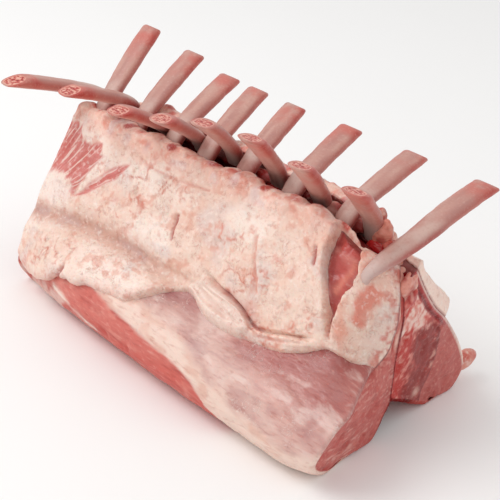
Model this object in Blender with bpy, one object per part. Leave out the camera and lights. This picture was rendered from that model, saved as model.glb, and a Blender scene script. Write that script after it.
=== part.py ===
"""Rack of lamb: two Frenched racks set together as a guard of honour.

Each rack is a body of lean meat with the loin along its foot, a fat cap on its
outer side and eight rib bones that run up through the meat and stand clear of
it.  The racks lean together, rib side to rib side, and their bones interlace.

Each rack is worked out in a frame of its own: X runs from its shoulder end to
its loin end, its outer side is towards -Y, Z is up and the floor is Z = 0.  The
front rack stays so, and the rear rack is turned half a turn about Z.  The pair
is then moved so that the middle of its box lies on the origin's Z axis.
Sizes are in millimetres until MM scales them.
"""

import math

import bmesh
import bpy
import numpy as np
from mathutils import Matrix, Vector

MM = 0.001
GAP = 0.3               # clearance between neighbouring pieces
END_REACH = 5           # how far a cutter runs on past the racks' cut ends
MIDDLE = (-7.02, 10.28, 0)  # the pair's middle, which becomes the origin

# ---- Grids ------------------------------------------------------------------
SIDE_POINTS = 15        # points down each side of the lean's section
LEAN_RINGS = 18         # sections along the lean
FAT_POINTS = 9          # points down the fat cap
FAT_RINGS = 25          # sections along the fat cap
RIB_SIDES = 8
RIB_RINGS = 10

# ---- Sections of the lean ---------------------------------------------------
# A section is two chains of (y, z) points that start at the slab's top edge.
# The outer chain goes down the slab, round the loin and under it to the middle
# of the foot.  The inner chain goes down the rib side and round the chine edge
# to the same middle.  Each is given at six stations from the shoulder end to the
# loin end, and blended between them.
FRONT_STATIONS = (-117, -66, 0, 58, 92, 107)
FRONT_OUTER = (
    ((-11, 98), (-27, 67), (-35, 52), (-41, 41), (-50, 28), (-55, 13), (-46, 0), (-31, 0)),
    ((-12, 100), (-26, 74), (-34, 58), (-40, 46), (-60, 32), (-63, 13), (-51, 0), (-34, 0)),
    ((-11, 102), (-25, 76), (-33, 59), (-39, 47), (-63, 33), (-66, 13), (-53, 0), (-36, 0)),
    ((-11, 104), (-25, 79), (-33, 61), (-40, 49), (-63, 33), (-66, 13), (-53, 0), (-36, 0)),
    ((-14, 97), (-25, 78), (-31, 61), (-38, 50), (-61, 35), (-65, 13), (-52, 0), (-35, 0)),
    ((-5, 91), (-8, 78), (-10, 63), (-17, 52), (-57, 37), (-62, 14), (-47, 0), (-33, 0)),
)
FRONT_INNER = (
    ((-3, 97), (-7, 84), (-8, 66), (-6, 46), (-3, 28), (-2, 14), (-10, 1), (-22, 0)),
    ((-3, 98), (-8, 84), (-10, 66), (-8, 46), (-4, 28), (-2, 14), (-10, 1), (-22, 0)),
    ((-3, 99), (-8, 84), (-10, 66), (-8, 46), (-4, 28), (-2, 14), (-10, 1), (-22, 0)),
    ((-3, 100), (-8, 84), (-10, 66), (-8, 46), (-4, 28), (-2, 14), (-10, 1), (-22, 0)),
    ((-4, 95), (-6, 82), (-7, 66), (-6, 46), (-3, 28), (-1, 14), (-9, 1), (-22, 0)),
    ((-4, 90), (-4, 80), (-4, 64), (-3, 46), (-1, 30), (0, 16), (-7, 1), (-22, 0)),
)
REAR_STATIONS = (-105, -76, -50, 0, 60, 121)
REAR_OUTER = (
    ((-4, 94), (-15, 80), (-28, 66), (-42, 54), (-62, 32), (-73, 13), (-66, 0), (-50, 0)),
    ((-8, 97), (-19, 77), (-31, 60), (-43, 48), (-62, 31), (-69, 13), (-60, 0), (-45, 0)),
    ((-11, 101), (-24, 76), (-34, 59), (-42, 47), (-61, 32), (-66, 13), (-55, 0), (-40, 0)),
    ((-11, 103), (-25, 77), (-34, 59), (-41, 47), (-61, 33), (-64, 13), (-52, 0), (-36, 0)),
    ((-11, 103), (-25, 78), (-34, 60), (-41, 48), (-61, 33), (-64, 13), (-51, 0), (-35, 0)),
    ((-11, 98), (-23, 76), (-32, 59), (-39, 47), (-59, 33), (-61, 13), (-48, 0), (-33, 0)),
)
REAR_INNER = (
    ((1, 91), (0, 80), (-1, 64), (-1, 48), (-2, 32), (-5, 20), (-24, 8), (-40, 0)),
    ((-1, 95), (-3, 82), (-4, 65), (-4, 47), (-3, 30), (-5, 17), (-19, 4), (-34, 0)),
    ((-2, 98), (-6, 84), (-8, 66), (-7, 46), (-4, 28), (-4, 14), (-14, 2), (-28, 0)),
    ((-3, 98), (-8, 84), (-10, 66), (-8, 46), (-4, 28), (-3, 14), (-11, 1), (-23, 0)),
    ((-3, 99), (-8, 84), (-10, 66), (-8, 46), (-4, 28), (-2, 14), (-10, 1), (-22, 0)),
    ((-3, 96), (-7, 84), (-9, 66), (-7, 46), (-4, 28), (-2, 14), (-10, 1), (-22, 0)),
)
LOIN_END_BULGE = 10     # the loin's cut end stands this much prouder at its outer side
END_DROP = 0.009        # how fast the slab's loin end slopes back above END_DROP_FROM
END_DROP_FROM = 64

# ---- Fat cap ----------------------------------------------------------------
FAT_THICK = 6.5
FAT_EDGE = 2.8          # thickness left at the ragged lower edge
FAT_LIP = 4             # the cap rises this far past the lean's top edge
LIP_ROUND = 2           # and is this much thinner there
FAT_ROOT = 2.5          # it starts this deep in the lean, which is cut away from it
# The cap's lower edge, as its distance down the outer chain at places along the rack.
FRONT_EDGE_PLACES = (-117, -97, -78, -58, -38, -20, -5, 5, 20, 36, 52, 66, 78, 88, 98, 107)
FRONT_EDGE_RUN = (83, 89, 91, 89, 86, 84, 68, 63, 70, 72, 70, 66, 57, 47, 46, 46)
REAR_EDGE_PLACES = (-105, -80, -50, -20, 20, 60, 90, 121)
REAR_EDGE_RUN = (52, 64, 74, 80, 72, 68, 60, 52)
FOLD_RISE = 3.5         # the front cap's loose fold, lifted along its lower edge
FOLD_MIDDLE = 30        # where the fold is along the rack, and half its length
FOLD_HALF = 34

# ---- Bare muscle beside the front rack's last bone ----------------------------
# The cap is missing there over a leaf-shaped patch that is open at the top.  Its
# two sides are smooth curves through these (x, z) points, and the lean swells
# to meet them.
LEAF_LEFT = ((72, 116), (73, 98), (80, 86), (93, 70))
LEAF_RIGHT = ((92, 116), (92, 99), (92, 88), (93, 70))
LEAF_STEPS = 6
SWELL = 4.2
SWELL_MIDDLE = 86
SWELL_HALF = 13

# ---- Rib bones --------------------------------------------------------------
# A bone rises near the slab's inner side, leaves its top and leans over the
# other rack.  BENDS are the (x, z) places where the bones' middles cross between
# the racks, and TIPS are the (x, y, z) middles of their sawn ends.
FRONT_BENDS = ((-108, 107), (-78, 107), (-51, 107), (-27, 107),
               (0, 107), (31, 107), (65, 107), (101, 107))
FRONT_TIPS = ((-115, 34, 139), (-83, 38, 133), (-57, 41, 127), (-33, 38, 128),
              (-8, 40, 127), (26, 45, 126), (63, 51, 124), (103, 54, 123))
REAR_BENDS = ((-78, 107), (-46, 107), (-17, 109), (14, 109),
              (39, 106), (64, 103), (93, 107), (119, 104))
REAR_TIPS = ((-87, 32, 134), (-59, 36, 136), (-30, 38, 139), (-1, 39, 136),
             (24, 42, 130), (50, 46, 126), (83, 50, 126), (119, 58, 121))
RIB_WIDTH = 12.8
RIB_THICK = 6.8
RIB_SLIM = 0.22         # how much narrower a bone is inside the meat
RIB_WIDENS = (0.5, 0.9) # it widens to its full size between these shares of its length
RIB_FOOT = 16           # height of a bone's lower end
RIB_COVER = 5.4         # from the rib side of the lean to a bone's middle
LAST_COVER = 16         # the front rack's last bone comes this far out, to the fat's surface
LAST_STEP = -7          # and lies this far back along the rack below its bend
RIB_SPREAD = 0.3        # how much less the bones fan out inside the slab
FRONT_CUT_TILT = 25     # the sawn ends' slope from level, in degrees
REAR_CUT_TILT = -12
LEAST_BEVEL = 25        # and the least angle between a bone and its sawn plane

# ---- Backstrap --------------------------------------------------------------
STRAP_PLACE = (-101, -79, 12)
STRAP_RADII = (4.5, 10, 6)


def blend(keys, place):
    """Smooth value at a fractional place in a list of evenly numbered keys."""
    keys = np.asarray(keys, float)
    last = len(keys) - 1
    start = int(min(max(math.floor(place), 0), last - 1))
    t = place - start
    k1, k2 = keys[start], keys[start + 1]
    k0 = keys[start - 1] if start > 0 else 2 * k1 - k2
    k3 = keys[start + 2] if start + 2 <= last else 2 * k2 - k1
    return 0.5 * (2 * k1 + (k2 - k0) * t + (2 * k0 - 5 * k1 + 4 * k2 - k3) * t * t
                  + (3 * k1 - k0 - 3 * k2 + k3) * t ** 3)


def along(stations, keys, x):
    """The keys' value at x, blended smoothly between their stations."""
    return blend(keys, float(np.interp(x, stations, np.arange(len(stations)))))


def measured(points, steps=160):
    """A smooth curve through points, with the distance run at each of its steps."""
    curve = np.array([blend(points, t) for t in np.linspace(0, len(points) - 1, steps)])
    run = np.concatenate([[0], np.cumsum(np.linalg.norm(np.diff(curve, axis=0), axis=1))])
    return curve, run


def at_run(curve, run, wanted):
    """Points of a measured curve at the wanted distances."""
    return np.column_stack([np.interp(wanted, run, curve[:, k]) for k in range(curve.shape[1])])


def smooth_step(low, high, value):
    t = np.clip((value - low) / (high - low), 0.0, 1.0)
    return t * t * (3 - 2 * t)


def outward(points):
    """Unit normals of a chain that runs down the outer side, away from the meat."""
    run = np.gradient(points, axis=0)
    normal = np.column_stack([run[:, 1], -run[:, 0]])
    return normal / np.linalg.norm(normal, axis=1)[:, None]


class Rack:
    """One rack's sizes and the sections that come from them."""

    def __init__(self, name, stations, outer, inner, edge, bends, tips, cut_tilt, turn):
        self.name = name
        self.stations = stations
        self.outer = outer
        self.inner = inner
        self.edge_places, self.edge_run = edge
        self.bends = bends
        self.tips = tips
        self.cut_tilt = cut_tilt
        self.turn = Matrix.Rotation(math.radians(turn), 4, 'Z')

    def swell(self, x, runs):
        """How far the lean rises under the bare patch, at distances down the outer side."""
        if self.name != "front":
            return np.zeros(len(runs))
        near = math.exp(-((x - SWELL_MIDDLE) / SWELL_HALF) ** 2)
        return SWELL * near * (1 - smooth_step(14, 40, np.asarray(runs, float)))

    def stand_out(self, x, points):
        """Points of a section at x as 3-D points, with the loin end's bulge.

        None goes below the floor, so the underside is flat.
        """
        points = np.column_stack([points[:, 0], np.maximum(points[:, 1], 0)])
        near = smooth_step(self.stations[-1] - 40, self.stations[-1], x)
        out = np.clip((-points[:, 0] - 22) / 26, 0, 1)
        level = np.exp(-((points[:, 1] - 38) / 26) ** 2)
        drop = END_DROP * np.clip(points[:, 1] - END_DROP_FROM, 0, None) ** 2
        return np.column_stack([x + near * (LOIN_END_BULGE * out * level - drop), points])

    def lean_section(self, x, grow=0.0):
        """The outer and the inner chain at x, evenly spaced, and moved out by grow."""
        chains = []
        for keys in (self.outer, self.inner):
            curve, run = measured(along(self.stations, keys, x))
            runs = np.linspace(0, run[-1], SIDE_POINTS)
            points = at_run(curve, run, runs)
            away = outward(points)
            if keys is self.outer:
                points = points + away * (self.swell(x, runs) + grow)[:, None]
            else:
                points = points - away * grow
            points[0, 1] += grow
            chains.append(self.stand_out(x, points))
        return chains

    def fat_section(self, x):
        """The cap's outer and inner chain at x, from the lean's outer chain.

        Both start FAT_LIP past the lean's top edge and end at the lower edge,
        where the cap thins out.  The inner one lies FAT_ROOT deep in the lean.
        """
        curve, run = measured(along(self.stations, self.outer, x))
        edge = along(self.edge_places, self.edge_run, x)
        runs = np.linspace(0, edge, FAT_POINTS)
        points = at_run(curve, run, runs)
        normals = outward(points)
        rise = points[0] - points[1]
        points[0] = points[0] + rise / np.linalg.norm(rise) * FAT_LIP
        down = np.linspace(0, 1, FAT_POINTS)
        thick = FAT_THICK - (FAT_THICK - FAT_EDGE) * smooth_step(0.55, 1.0, down)
        thick[0] -= LIP_ROUND
        if self.name == "front":
            fold = math.exp(-((x - FOLD_MIDDLE) / FOLD_HALF) ** 4)
            thick += FOLD_RISE * fold * smooth_step(0.72, 0.92, down)
        outer = points + normals * (GAP + thick)[:, None]
        inner = points - normals * FAT_ROOT
        return self.stand_out(x, outer), self.stand_out(x, inner)

    def rib_path(self, number):
        """A bone's middle line: up the rib side of the slab, then out to its tip."""
        tip = np.array(self.tips[number], float)
        bend_x, bend_z = self.bends[number]
        bend = np.array((bend_x, 0, bend_z), float)
        inner, _ = measured(along(self.stations, self.inner, bend[0]))
        heights = inner[::-1, 1]
        sides = inner[::-1, 0]
        middle = []
        last = self.name == "front" and number == len(self.tips) - 1
        for height in (RIB_FOOT, 38, 60, 80, 92):
            out = (LAST_COVER - RIB_COVER) * smooth_step(25, 80, height) if last else 0
            side = float(np.interp(height, heights, sides)) - RIB_COVER - out
            shift = (tip[0] - bend[0]) * RIB_SPREAD * (height - bend[2]) / (tip[2] - bend[2])
            shift += LAST_STEP if last else 0
            middle.append((bend[0] + shift, side, height))
        far = bend + (tip - bend) * 0.55 + np.array((0, 0, 1.0))
        return np.array(middle + [tuple(bend), tuple(far), tuple(tip)])


def rib_rings(rack, number, grow=0.0):
    """Rings of a bone: a rounded flat section carried along its middle line.

    grow makes it larger all round, which gives the bone's channel.  The outer
    end is cut on the sawn plane.
    """
    curve, run = measured(rack.rib_path(number))
    stops = np.linspace(0, run[-1], RIB_RINGS)
    points = at_run(curve, run, stops)
    tangents = np.gradient(points, axis=0)
    tangents /= np.linalg.norm(tangents, axis=1)[:, None]
    rise = math.atan2(tangents[-1][2], tangents[-1][1])
    tilt = max(math.radians(rack.cut_tilt), math.radians(LEAST_BEVEL) - rise)
    sawn = np.array((0, math.sin(tilt), math.cos(tilt)))
    turns = 2 * math.pi * (np.arange(RIB_SIDES) + 0.5) / RIB_SIDES
    flat = np.sign(np.cos(turns)) * np.abs(np.cos(turns)) ** 0.8
    deep = np.sign(np.sin(turns)) * np.abs(np.sin(turns)) ** 0.8
    rings = []
    for i, (point, tangent) in enumerate(zip(points, tangents)):
        across = np.array((1.0, 0, 0)) - tangent * tangent[0]
        across /= np.linalg.norm(across)
        depth = np.cross(tangent, across)
        slim = 1 - RIB_SLIM * (1 - smooth_step(*RIB_WIDENS, stops[i] / run[-1]))
        ring = (point + np.outer(flat, across) * (RIB_WIDTH / 2 * slim + grow)
                + np.outer(deep, depth) * (RIB_THICK / 2 + grow))
        if i == 0:
            ring = ring - tangent * grow
        if i == RIB_RINGS - 1:
            ring = ring - np.outer((ring - point) @ sawn / (tangent @ sawn), tangent)
            ring = ring + tangent * grow
        rings.append(ring)
    return rings


def place(rack, point):
    """A rack's point in millimetres as a world point in metres."""
    turned = rack.turn @ Vector([float(c) for c in point])
    return (turned - Vector(MIDDLE)) * MM


def finish(name, bm, collection, material):
    bmesh.ops.triangulate(bm, faces=[f for f in bm.faces if len(f.verts) > 3])
    bmesh.ops.recalc_face_normals(bm, faces=bm.faces)
    mesh = bpy.data.meshes.new(name)
    bm.to_mesh(mesh)
    bm.free()
    mesh.materials.append(material)
    mesh.shade_smooth()
    piece = bpy.data.objects.new(name, mesh)
    collection.objects.link(piece)
    return piece


def ladder_loft(name, rack, sections, collection, material):
    """A closed body through sections that are an outer and an inner chain each.

    The chains have the same number of points, and both ends are closed by a face.
    """
    bm = bmesh.new()
    outer = [[bm.verts.new(place(rack, p)) for p in section[0]] for section in sections]
    inner = [[bm.verts.new(place(rack, p)) for p in section[1]] for section in sections]
    count = len(outer[0])
    for i in range(len(sections) - 1):
        for j in range(count - 1):
            bm.faces.new((outer[i][j], outer[i][j + 1], outer[i + 1][j + 1], outer[i + 1][j]))
            bm.faces.new((inner[i][j], inner[i + 1][j], inner[i + 1][j + 1], inner[i][j + 1]))
        for j in (0, count - 1):
            bm.faces.new((outer[i][j], outer[i + 1][j], inner[i + 1][j], inner[i][j]))
    bm.faces.new(outer[0] + inner[0][::-1])
    bm.faces.new(inner[-1] + outer[-1][::-1])
    return finish(name, bm, collection, material)


def tube_loft(name, rack, rings, collection, material):
    """A closed tube through rings of points, with flat ends."""
    bm = bmesh.new()
    loops = [[bm.verts.new(place(rack, p)) for p in ring] for ring in rings]
    for low, high in zip(loops[:-1], loops[1:]):
        for j in range(RIB_SIDES):
            k = (j + 1) % RIB_SIDES
            bm.faces.new((low[j], low[k], high[k], high[j]))
    bm.faces.new(loops[0][::-1])
    bm.faces.new(loops[-1])
    return finish(name, bm, collection, material)


def leaf_cutter(rack, collection, material):
    """A prism through the front cap in the outline of the bare patch."""
    sides = [[blend(side, t) for t in np.linspace(0, len(side) - 1, LEAF_STEPS)]
             for side in (LEAF_LEFT, LEAF_RIGHT)]
    outline = sides[0] + sides[1][-2::-1]
    bm = bmesh.new()
    caps = [[bm.verts.new(place(rack, (x, y, z))) for x, z in outline] for y in (-60, 0)]
    count = len(outline)
    for j in range(count):
        k = (j + 1) % count
        bm.faces.new((caps[0][j], caps[0][k], caps[1][k], caps[1][j]))
    bm.faces.new(caps[0][::-1])
    bm.faces.new(caps[1])
    return as_cutter(finish("leaf", bm, collection, material))


def strap_end(name, rack, grow, collection, material):
    """The backstrap's cut end: a small ellipsoid at the shoulder end's outer side."""
    bm = bmesh.new()
    bmesh.ops.create_uvsphere(bm, u_segments=14, v_segments=8, radius=1)
    for v in bm.verts:
        point = [p + c * (r + grow) for p, c, r in zip(STRAP_PLACE, v.co, STRAP_RADII)]
        v.co = place(rack, point)
    return finish(name, bm, collection, material)


def as_cutter(piece):
    piece.hide_render = True
    piece.display_type = 'WIRE'
    return piece


def cut_away(piece, cutters):
    """Subtracts each cutter from the piece."""
    for cutter in cutters:
        cut = piece.modifiers.new("cut " + cutter.name, 'BOOLEAN')
        cut.operation = 'DIFFERENCE'
        cut.solver = 'EXACT'
        cut.object = cutter


def make_material(name, colour, roughness):
    """A Principled material from an sRGB hex colour."""
    linear = []
    for k in (0, 2, 4):
        c = int(colour[k:k + 2], 16) / 255
        linear.append(c / 12.92 if c <= 0.04045 else ((c + 0.055) / 1.055) ** 2.4)
    material = bpy.data.materials.new(name)
    material.use_nodes = True
    shader = material.node_tree.nodes["Principled BSDF"]
    shader.inputs["Base Color"].default_value = (*linear, 1)
    shader.inputs["Roughness"].default_value = roughness
    shader.inputs["Metallic"].default_value = 0
    return material


def make_collection(name):
    collection = bpy.data.collections.new(name)
    bpy.context.scene.collection.children.link(collection)
    return collection


def make_racks():
    front = Rack("front", FRONT_STATIONS, FRONT_OUTER, FRONT_INNER,
                 (FRONT_EDGE_PLACES, FRONT_EDGE_RUN), FRONT_BENDS, FRONT_TIPS,
                 FRONT_CUT_TILT, 0)
    rear = Rack("rear", REAR_STATIONS, REAR_OUTER, REAR_INNER,
                (REAR_EDGE_PLACES, REAR_EDGE_RUN), REAR_BENDS, REAR_TIPS,
                REAR_CUT_TILT, 180)
    return front, rear


def main():
    for old in list(bpy.data.objects):
        bpy.data.objects.remove(old, do_unlink=True)
    parts = make_collection("rack_of_lamb")
    cutters = make_collection("cutters")
    lean = make_material("lamb lean", "B4605A", 0.45)
    fat = make_material("lamb fat", "EBD3C4", 0.5)
    bone = make_material("rib bone", "CBA195", 0.45)

    front, rear = make_racks()
    channels = []
    for rack in (front, rear):
        for number in range(len(rack.bends)):
            tube_loft("%s_rib_%d" % (rack.name, number + 1), rack,
                      rib_rings(rack, number), parts, bone)
            channel = tube_loft("channel_%s_%d" % (rack.name, number + 1), rack,
                                rib_rings(rack, number, GAP), cutters, bone)
            channels.append(as_cutter(channel))
    strap_end("rear_backstrap", rear, 0, parts, fat)
    seat = as_cutter(strap_end("backstrap_seat", rear, GAP, cutters, fat))
    leaf = leaf_cutter(front, cutters, lean)

    for rack, lean_cuts, fat_cuts in ((front, [], [leaf]), (rear, [seat], [seat])):
        first, last = rack.stations[0], rack.stations[-1]
        stations = np.linspace(first, last, LEAN_RINGS)
        sections = [rack.lean_section(x) for x in stations]
        body = ladder_loft(rack.name + "_lean", rack, sections, parts, lean)
        cut_away(body, channels + lean_cuts)
        sections = [rack.lean_section(x, GAP) for x in stations]
        reach = np.array((END_REACH, 0, 0))
        sections.insert(0, [chain - reach for chain in sections[0]])
        sections.append([chain + reach for chain in sections[-1]])
        room = as_cutter(ladder_loft(rack.name + "_room", rack, sections, cutters, lean))
        sections = [rack.fat_section(x) for x in np.linspace(first, last, FAT_RINGS)]
        cap = ladder_loft(rack.name + "_fat", rack, sections, parts, fat)
        cut_away(cap, [room] + channels + fat_cuts)


main()
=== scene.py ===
"""Looks of a rack of lamb: two Frenched racks set together as a guard of honour.

Each rack is worked out in a frame of its own, in millimetres: X runs from its
shoulder end to its loin end, its outer side is towards -Y, Z is up and the
floor is Z = 0.  A place on a rack's outer side is (x, run): the distance along
the rack and the distance down the skin from the slab's top edge.
"""

import math

import bmesh
import bpy
import numpy as np
from mathutils import Matrix, Vector


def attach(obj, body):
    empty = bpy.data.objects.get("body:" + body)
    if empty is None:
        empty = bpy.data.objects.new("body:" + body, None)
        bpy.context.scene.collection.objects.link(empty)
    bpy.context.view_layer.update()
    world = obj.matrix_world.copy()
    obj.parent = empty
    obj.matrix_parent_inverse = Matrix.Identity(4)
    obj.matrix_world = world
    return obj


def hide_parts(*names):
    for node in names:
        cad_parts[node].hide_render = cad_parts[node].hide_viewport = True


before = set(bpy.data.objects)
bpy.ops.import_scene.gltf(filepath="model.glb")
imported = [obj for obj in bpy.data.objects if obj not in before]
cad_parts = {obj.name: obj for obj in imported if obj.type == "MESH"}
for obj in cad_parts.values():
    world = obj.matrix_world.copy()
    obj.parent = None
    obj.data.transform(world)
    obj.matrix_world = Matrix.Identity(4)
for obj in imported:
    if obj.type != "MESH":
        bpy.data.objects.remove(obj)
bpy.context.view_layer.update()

bl_info = {
    "name": "Rack of lamb",
    "version": (1, 0, 0),
    "blender": (4, 5, 0),
    "location": "View3D > Sidebar > Lamb",
    "description": "Dresses the two racks of lamb and sets the stage",
    "category": "Object",
}

MM = 0.001
GAP = 0.3                   # the solids' clearance, in millimetres
MIDDLE = np.array((-7.02, 10.28, 0))

# ---- Grids ------------------------------------------------------------------
LEAN_STEP = 1.0             # spacing of the lean's grid along the rack, in mm
LEAN_POINTS = 120           # points down each side of the lean
LEAN_RUNGS = 40             # points across a cut face
FAT_STEP = 0.8
FAT_POINTS = 124
FAT_RUNGS = 7
BONE_SIDES = 32
BONE_RINGS = 96
BONE_CUTS = 12              # rings across a sawn end
CURVE_STEPS = 141

# ---- Sections of the lean: (y, z) keys at stations along each rack -------------
FRONT_STATIONS = (-117, -66, 0, 58, 92, 107)
FRONT_OUTER = (
    ((-11, 98), (-27, 67), (-35, 52), (-41, 41), (-50, 28), (-55, 13), (-46, 0), (-31, 0)),
    ((-12, 100), (-26, 74), (-34, 58), (-40, 46), (-60, 32), (-63, 13), (-51, 0), (-34, 0)),
    ((-11, 102), (-25, 76), (-33, 59), (-39, 47), (-63, 33), (-66, 13), (-53, 0), (-36, 0)),
    ((-11, 104), (-25, 79), (-33, 61), (-40, 49), (-63, 33), (-66, 13), (-53, 0), (-36, 0)),
    ((-14, 97), (-25, 78), (-31, 61), (-38, 50), (-61, 35), (-65, 13), (-52, 0), (-35, 0)),
    ((-5, 91), (-8, 78), (-10, 63), (-17, 52), (-57, 37), (-62, 14), (-47, 0), (-33, 0)),
)
FRONT_INNER = (
    ((-3, 97), (-7, 84), (-8, 66), (-6, 46), (-3, 28), (-2, 14), (-10, 1), (-22, 0)),
    ((-3, 98), (-8, 84), (-10, 66), (-8, 46), (-4, 28), (-2, 14), (-10, 1), (-22, 0)),
    ((-3, 99), (-8, 84), (-10, 66), (-8, 46), (-4, 28), (-2, 14), (-10, 1), (-22, 0)),
    ((-3, 100), (-8, 84), (-10, 66), (-8, 46), (-4, 28), (-2, 14), (-10, 1), (-22, 0)),
    ((-4, 95), (-6, 82), (-7, 66), (-6, 46), (-3, 28), (-1, 14), (-9, 1), (-22, 0)),
    ((-4, 90), (-4, 80), (-4, 64), (-3, 46), (-1, 30), (0, 16), (-7, 1), (-22, 0)),
)
REAR_STATIONS = (-105, -76, -50, 0, 60, 121)
REAR_OUTER = (
    ((-4, 94), (-15, 80), (-28, 66), (-42, 54), (-62, 32), (-73, 13), (-66, 0), (-50, 0)),
    ((-8, 97), (-19, 77), (-31, 60), (-43, 48), (-62, 31), (-69, 13), (-60, 0), (-45, 0)),
    ((-11, 101), (-24, 76), (-34, 59), (-42, 47), (-61, 32), (-66, 13), (-55, 0), (-40, 0)),
    ((-11, 103), (-25, 77), (-34, 59), (-41, 47), (-61, 33), (-64, 13), (-52, 0), (-36, 0)),
    ((-11, 103), (-25, 78), (-34, 60), (-41, 48), (-61, 33), (-64, 13), (-51, 0), (-35, 0)),
    ((-11, 98), (-23, 76), (-32, 59), (-39, 47), (-59, 33), (-61, 13), (-48, 0), (-33, 0)),
)
REAR_INNER = (
    ((1, 91), (0, 80), (-1, 64), (-1, 48), (-2, 32), (-5, 20), (-24, 8), (-40, 0)),
    ((-1, 95), (-3, 82), (-4, 65), (-4, 47), (-3, 30), (-5, 17), (-19, 4), (-34, 0)),
    ((-2, 98), (-6, 84), (-8, 66), (-7, 46), (-4, 28), (-4, 14), (-14, 2), (-28, 0)),
    ((-3, 98), (-8, 84), (-10, 66), (-8, 46), (-4, 28), (-3, 14), (-11, 1), (-23, 0)),
    ((-3, 99), (-8, 84), (-10, 66), (-8, 46), (-4, 28), (-2, 14), (-10, 1), (-22, 0)),
    ((-3, 96), (-7, 84), (-9, 66), (-7, 46), (-4, 28), (-2, 14), (-10, 1), (-22, 0)),
)
LOIN_END_BULGE = 10
END_DROP = 0.009
END_DROP_FROM = 64
FOOT_ROUND = 2.6            # radius of the cut ends' rims near the foot
END_INSET = 0.1             # the cut ends lie this far inside the solids' ends
CLOSING = 2.8               # each rib side leans this far to the other where the racks meet

# ---- Fat caps ---------------------------------------------------------------
FAT_THICK = 6.5
FAT_EDGE = 2.8
FAT_LIP = 4
FAT_ROOT = 1.6              # the cap's underside lies this deep in the lean
FRONT_EDGE = ((-117, 90), (-104, 96), (-90, 98), (-80, 96), (-72, 91), (-58, 90), (-38, 86), (-20, 84), (-5, 68), (5, 63),
              (20, 70), (36, 72), (52, 70), (66, 66), (78, 57), (88, 47), (98, 46), (107, 46))
REAR_EDGE = ((-105, 52), (-80, 64), (-50, 74), (-20, 80), (20, 72), (60, 68), (90, 60), (121, 52))
VALLEY = ((-117, 63), (-96, 61), (-79, 58), (-62, 57), (-47, 57), (-31, 57), (-20, 59), (0, 62))
CREASE = ((14, 50), (25, 53), (31, 54), (39, 57), (46, 61), (51, 63), (58, 62), (65, 58), (73, 53), (82, 47))
SWELL = 4.2
SWELL_MIDDLE = 86
SWELL_HALF = 13
# The bare patch's outline on the front rack, as (x, run) places.
LEAF = ((69, -9), (69.5, -4), (71, 3), (71.5, 10), (75, 17), (81, 24), (84.5, 31), (86.5, 38),
        (87.5, 31), (89.5, 23), (91, 17), (93.5, 9), (94.5, -1), (93.5, -9))

# Red muscle showing through the front cap near its shoulder end, in two lobes
# whose fibres fan out from FAN.
STRIPES = ((-122, 12), (-122, 36), (-114.5, 39), (-103, 37.5), (-96, 39), (-90.5, 46), (-88.5, 37),
           (-84.5, 26), (-80.5, 19), (-86, 14), (-97, 19), (-103, 14), (-108.5, 9))
STRIPES_LOW = ((-88, 45), (-83, 42.5), (-73, 33), (-66, 27), (-61, 18), (-70.5, 22), (-77, 29), (-81.8, 35))
FAN = (-125, 75)
SLITS = (((-18, 30), (-17.2, 34), (-16.8, 38), (-15.6, 42)), ((66, 13), (67.6, 16.5), (68.6, 19.5)))
GROOVE = ((33, 23), (36, 30), (39.5, 36), (43, 41), (45, 46))
LONG_CREASE = ((-56, 12), (-48, 14), (-27, 14), (-6, 12))
LEAF_TAIL = ((84, 26), (85.5, 34), (87, 41))
LIP_BLOOD = ((-74, -1), (-41, 0), (-12, -2), (24, -1))
NOTCH = ((-74, 98), (-70.5, 91), (-68, 85))
# A smooth fold of fat that lies over the loin like a leaf, from (x, run) places.
FLAP = ((6, 58), (14, 51), (25, 53), (31, 55), (39, 58), (46, 62), (51, 66),
        (46, 73), (36, 75), (20, 73), (5, 66))
# Cream connective tissue across the red muscle near the foot.
TENDON = ((-75, 98), (-64, 102), (-50, 107), (-38, 111))
WEB = ((-119, 99), (-98, 100), (-80, 98), (-68, 103), (-50, 110), (-46, 118), (-119, 118))

# ---- Bones ------------------------------------------------------------------
FRONT_BENDS = ((-108, 107), (-78, 107), (-51, 107), (-27, 107),
               (0, 107), (31, 107), (65, 107), (101, 107))
FRONT_TIPS = ((-115, 34, 139), (-83, 38, 133), (-57, 41, 127), (-33, 38, 128),
              (-8, 40, 127), (26, 45, 126), (63, 51, 124), (103, 54, 123))
REAR_BENDS = ((-78, 107), (-46, 107), (-17, 109), (14, 109),
              (39, 106), (64, 103), (93, 107), (119, 104))
REAR_TIPS = ((-87, 32, 134), (-59, 36, 136), (-30, 38, 139), (-1, 39, 136),
             (24, 42, 130), (50, 46, 126), (83, 50, 126), (119, 58, 121))
RIB_WIDTH = 12.8
RIB_THICK = 6.8
RIB_SLIM = 0.22
RIB_WIDENS = (0.5, 0.9)
RIB_FOOT = 16
RIB_COVER = 5.4
LAST_COVER = 16
LAST_STEP = -7
LAST_POINT = 0.3            # the last bone's width where it leaves the fat, as a share
LAST_TAPER = (66, 96)       # and the stretch of its length over which it widens
LAST_DIVE = 70              # below this height the last bone lies as deep as the others
RIB_SPREAD = 0.3
FRONT_CUT_TILT = 25
REAR_CUT_TILT = -12
LEAST_BEVEL = 25
STRAP_PLACE = (-101, -79, 12)
STRAP_RADII = (4.5, 10, 6)
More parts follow.
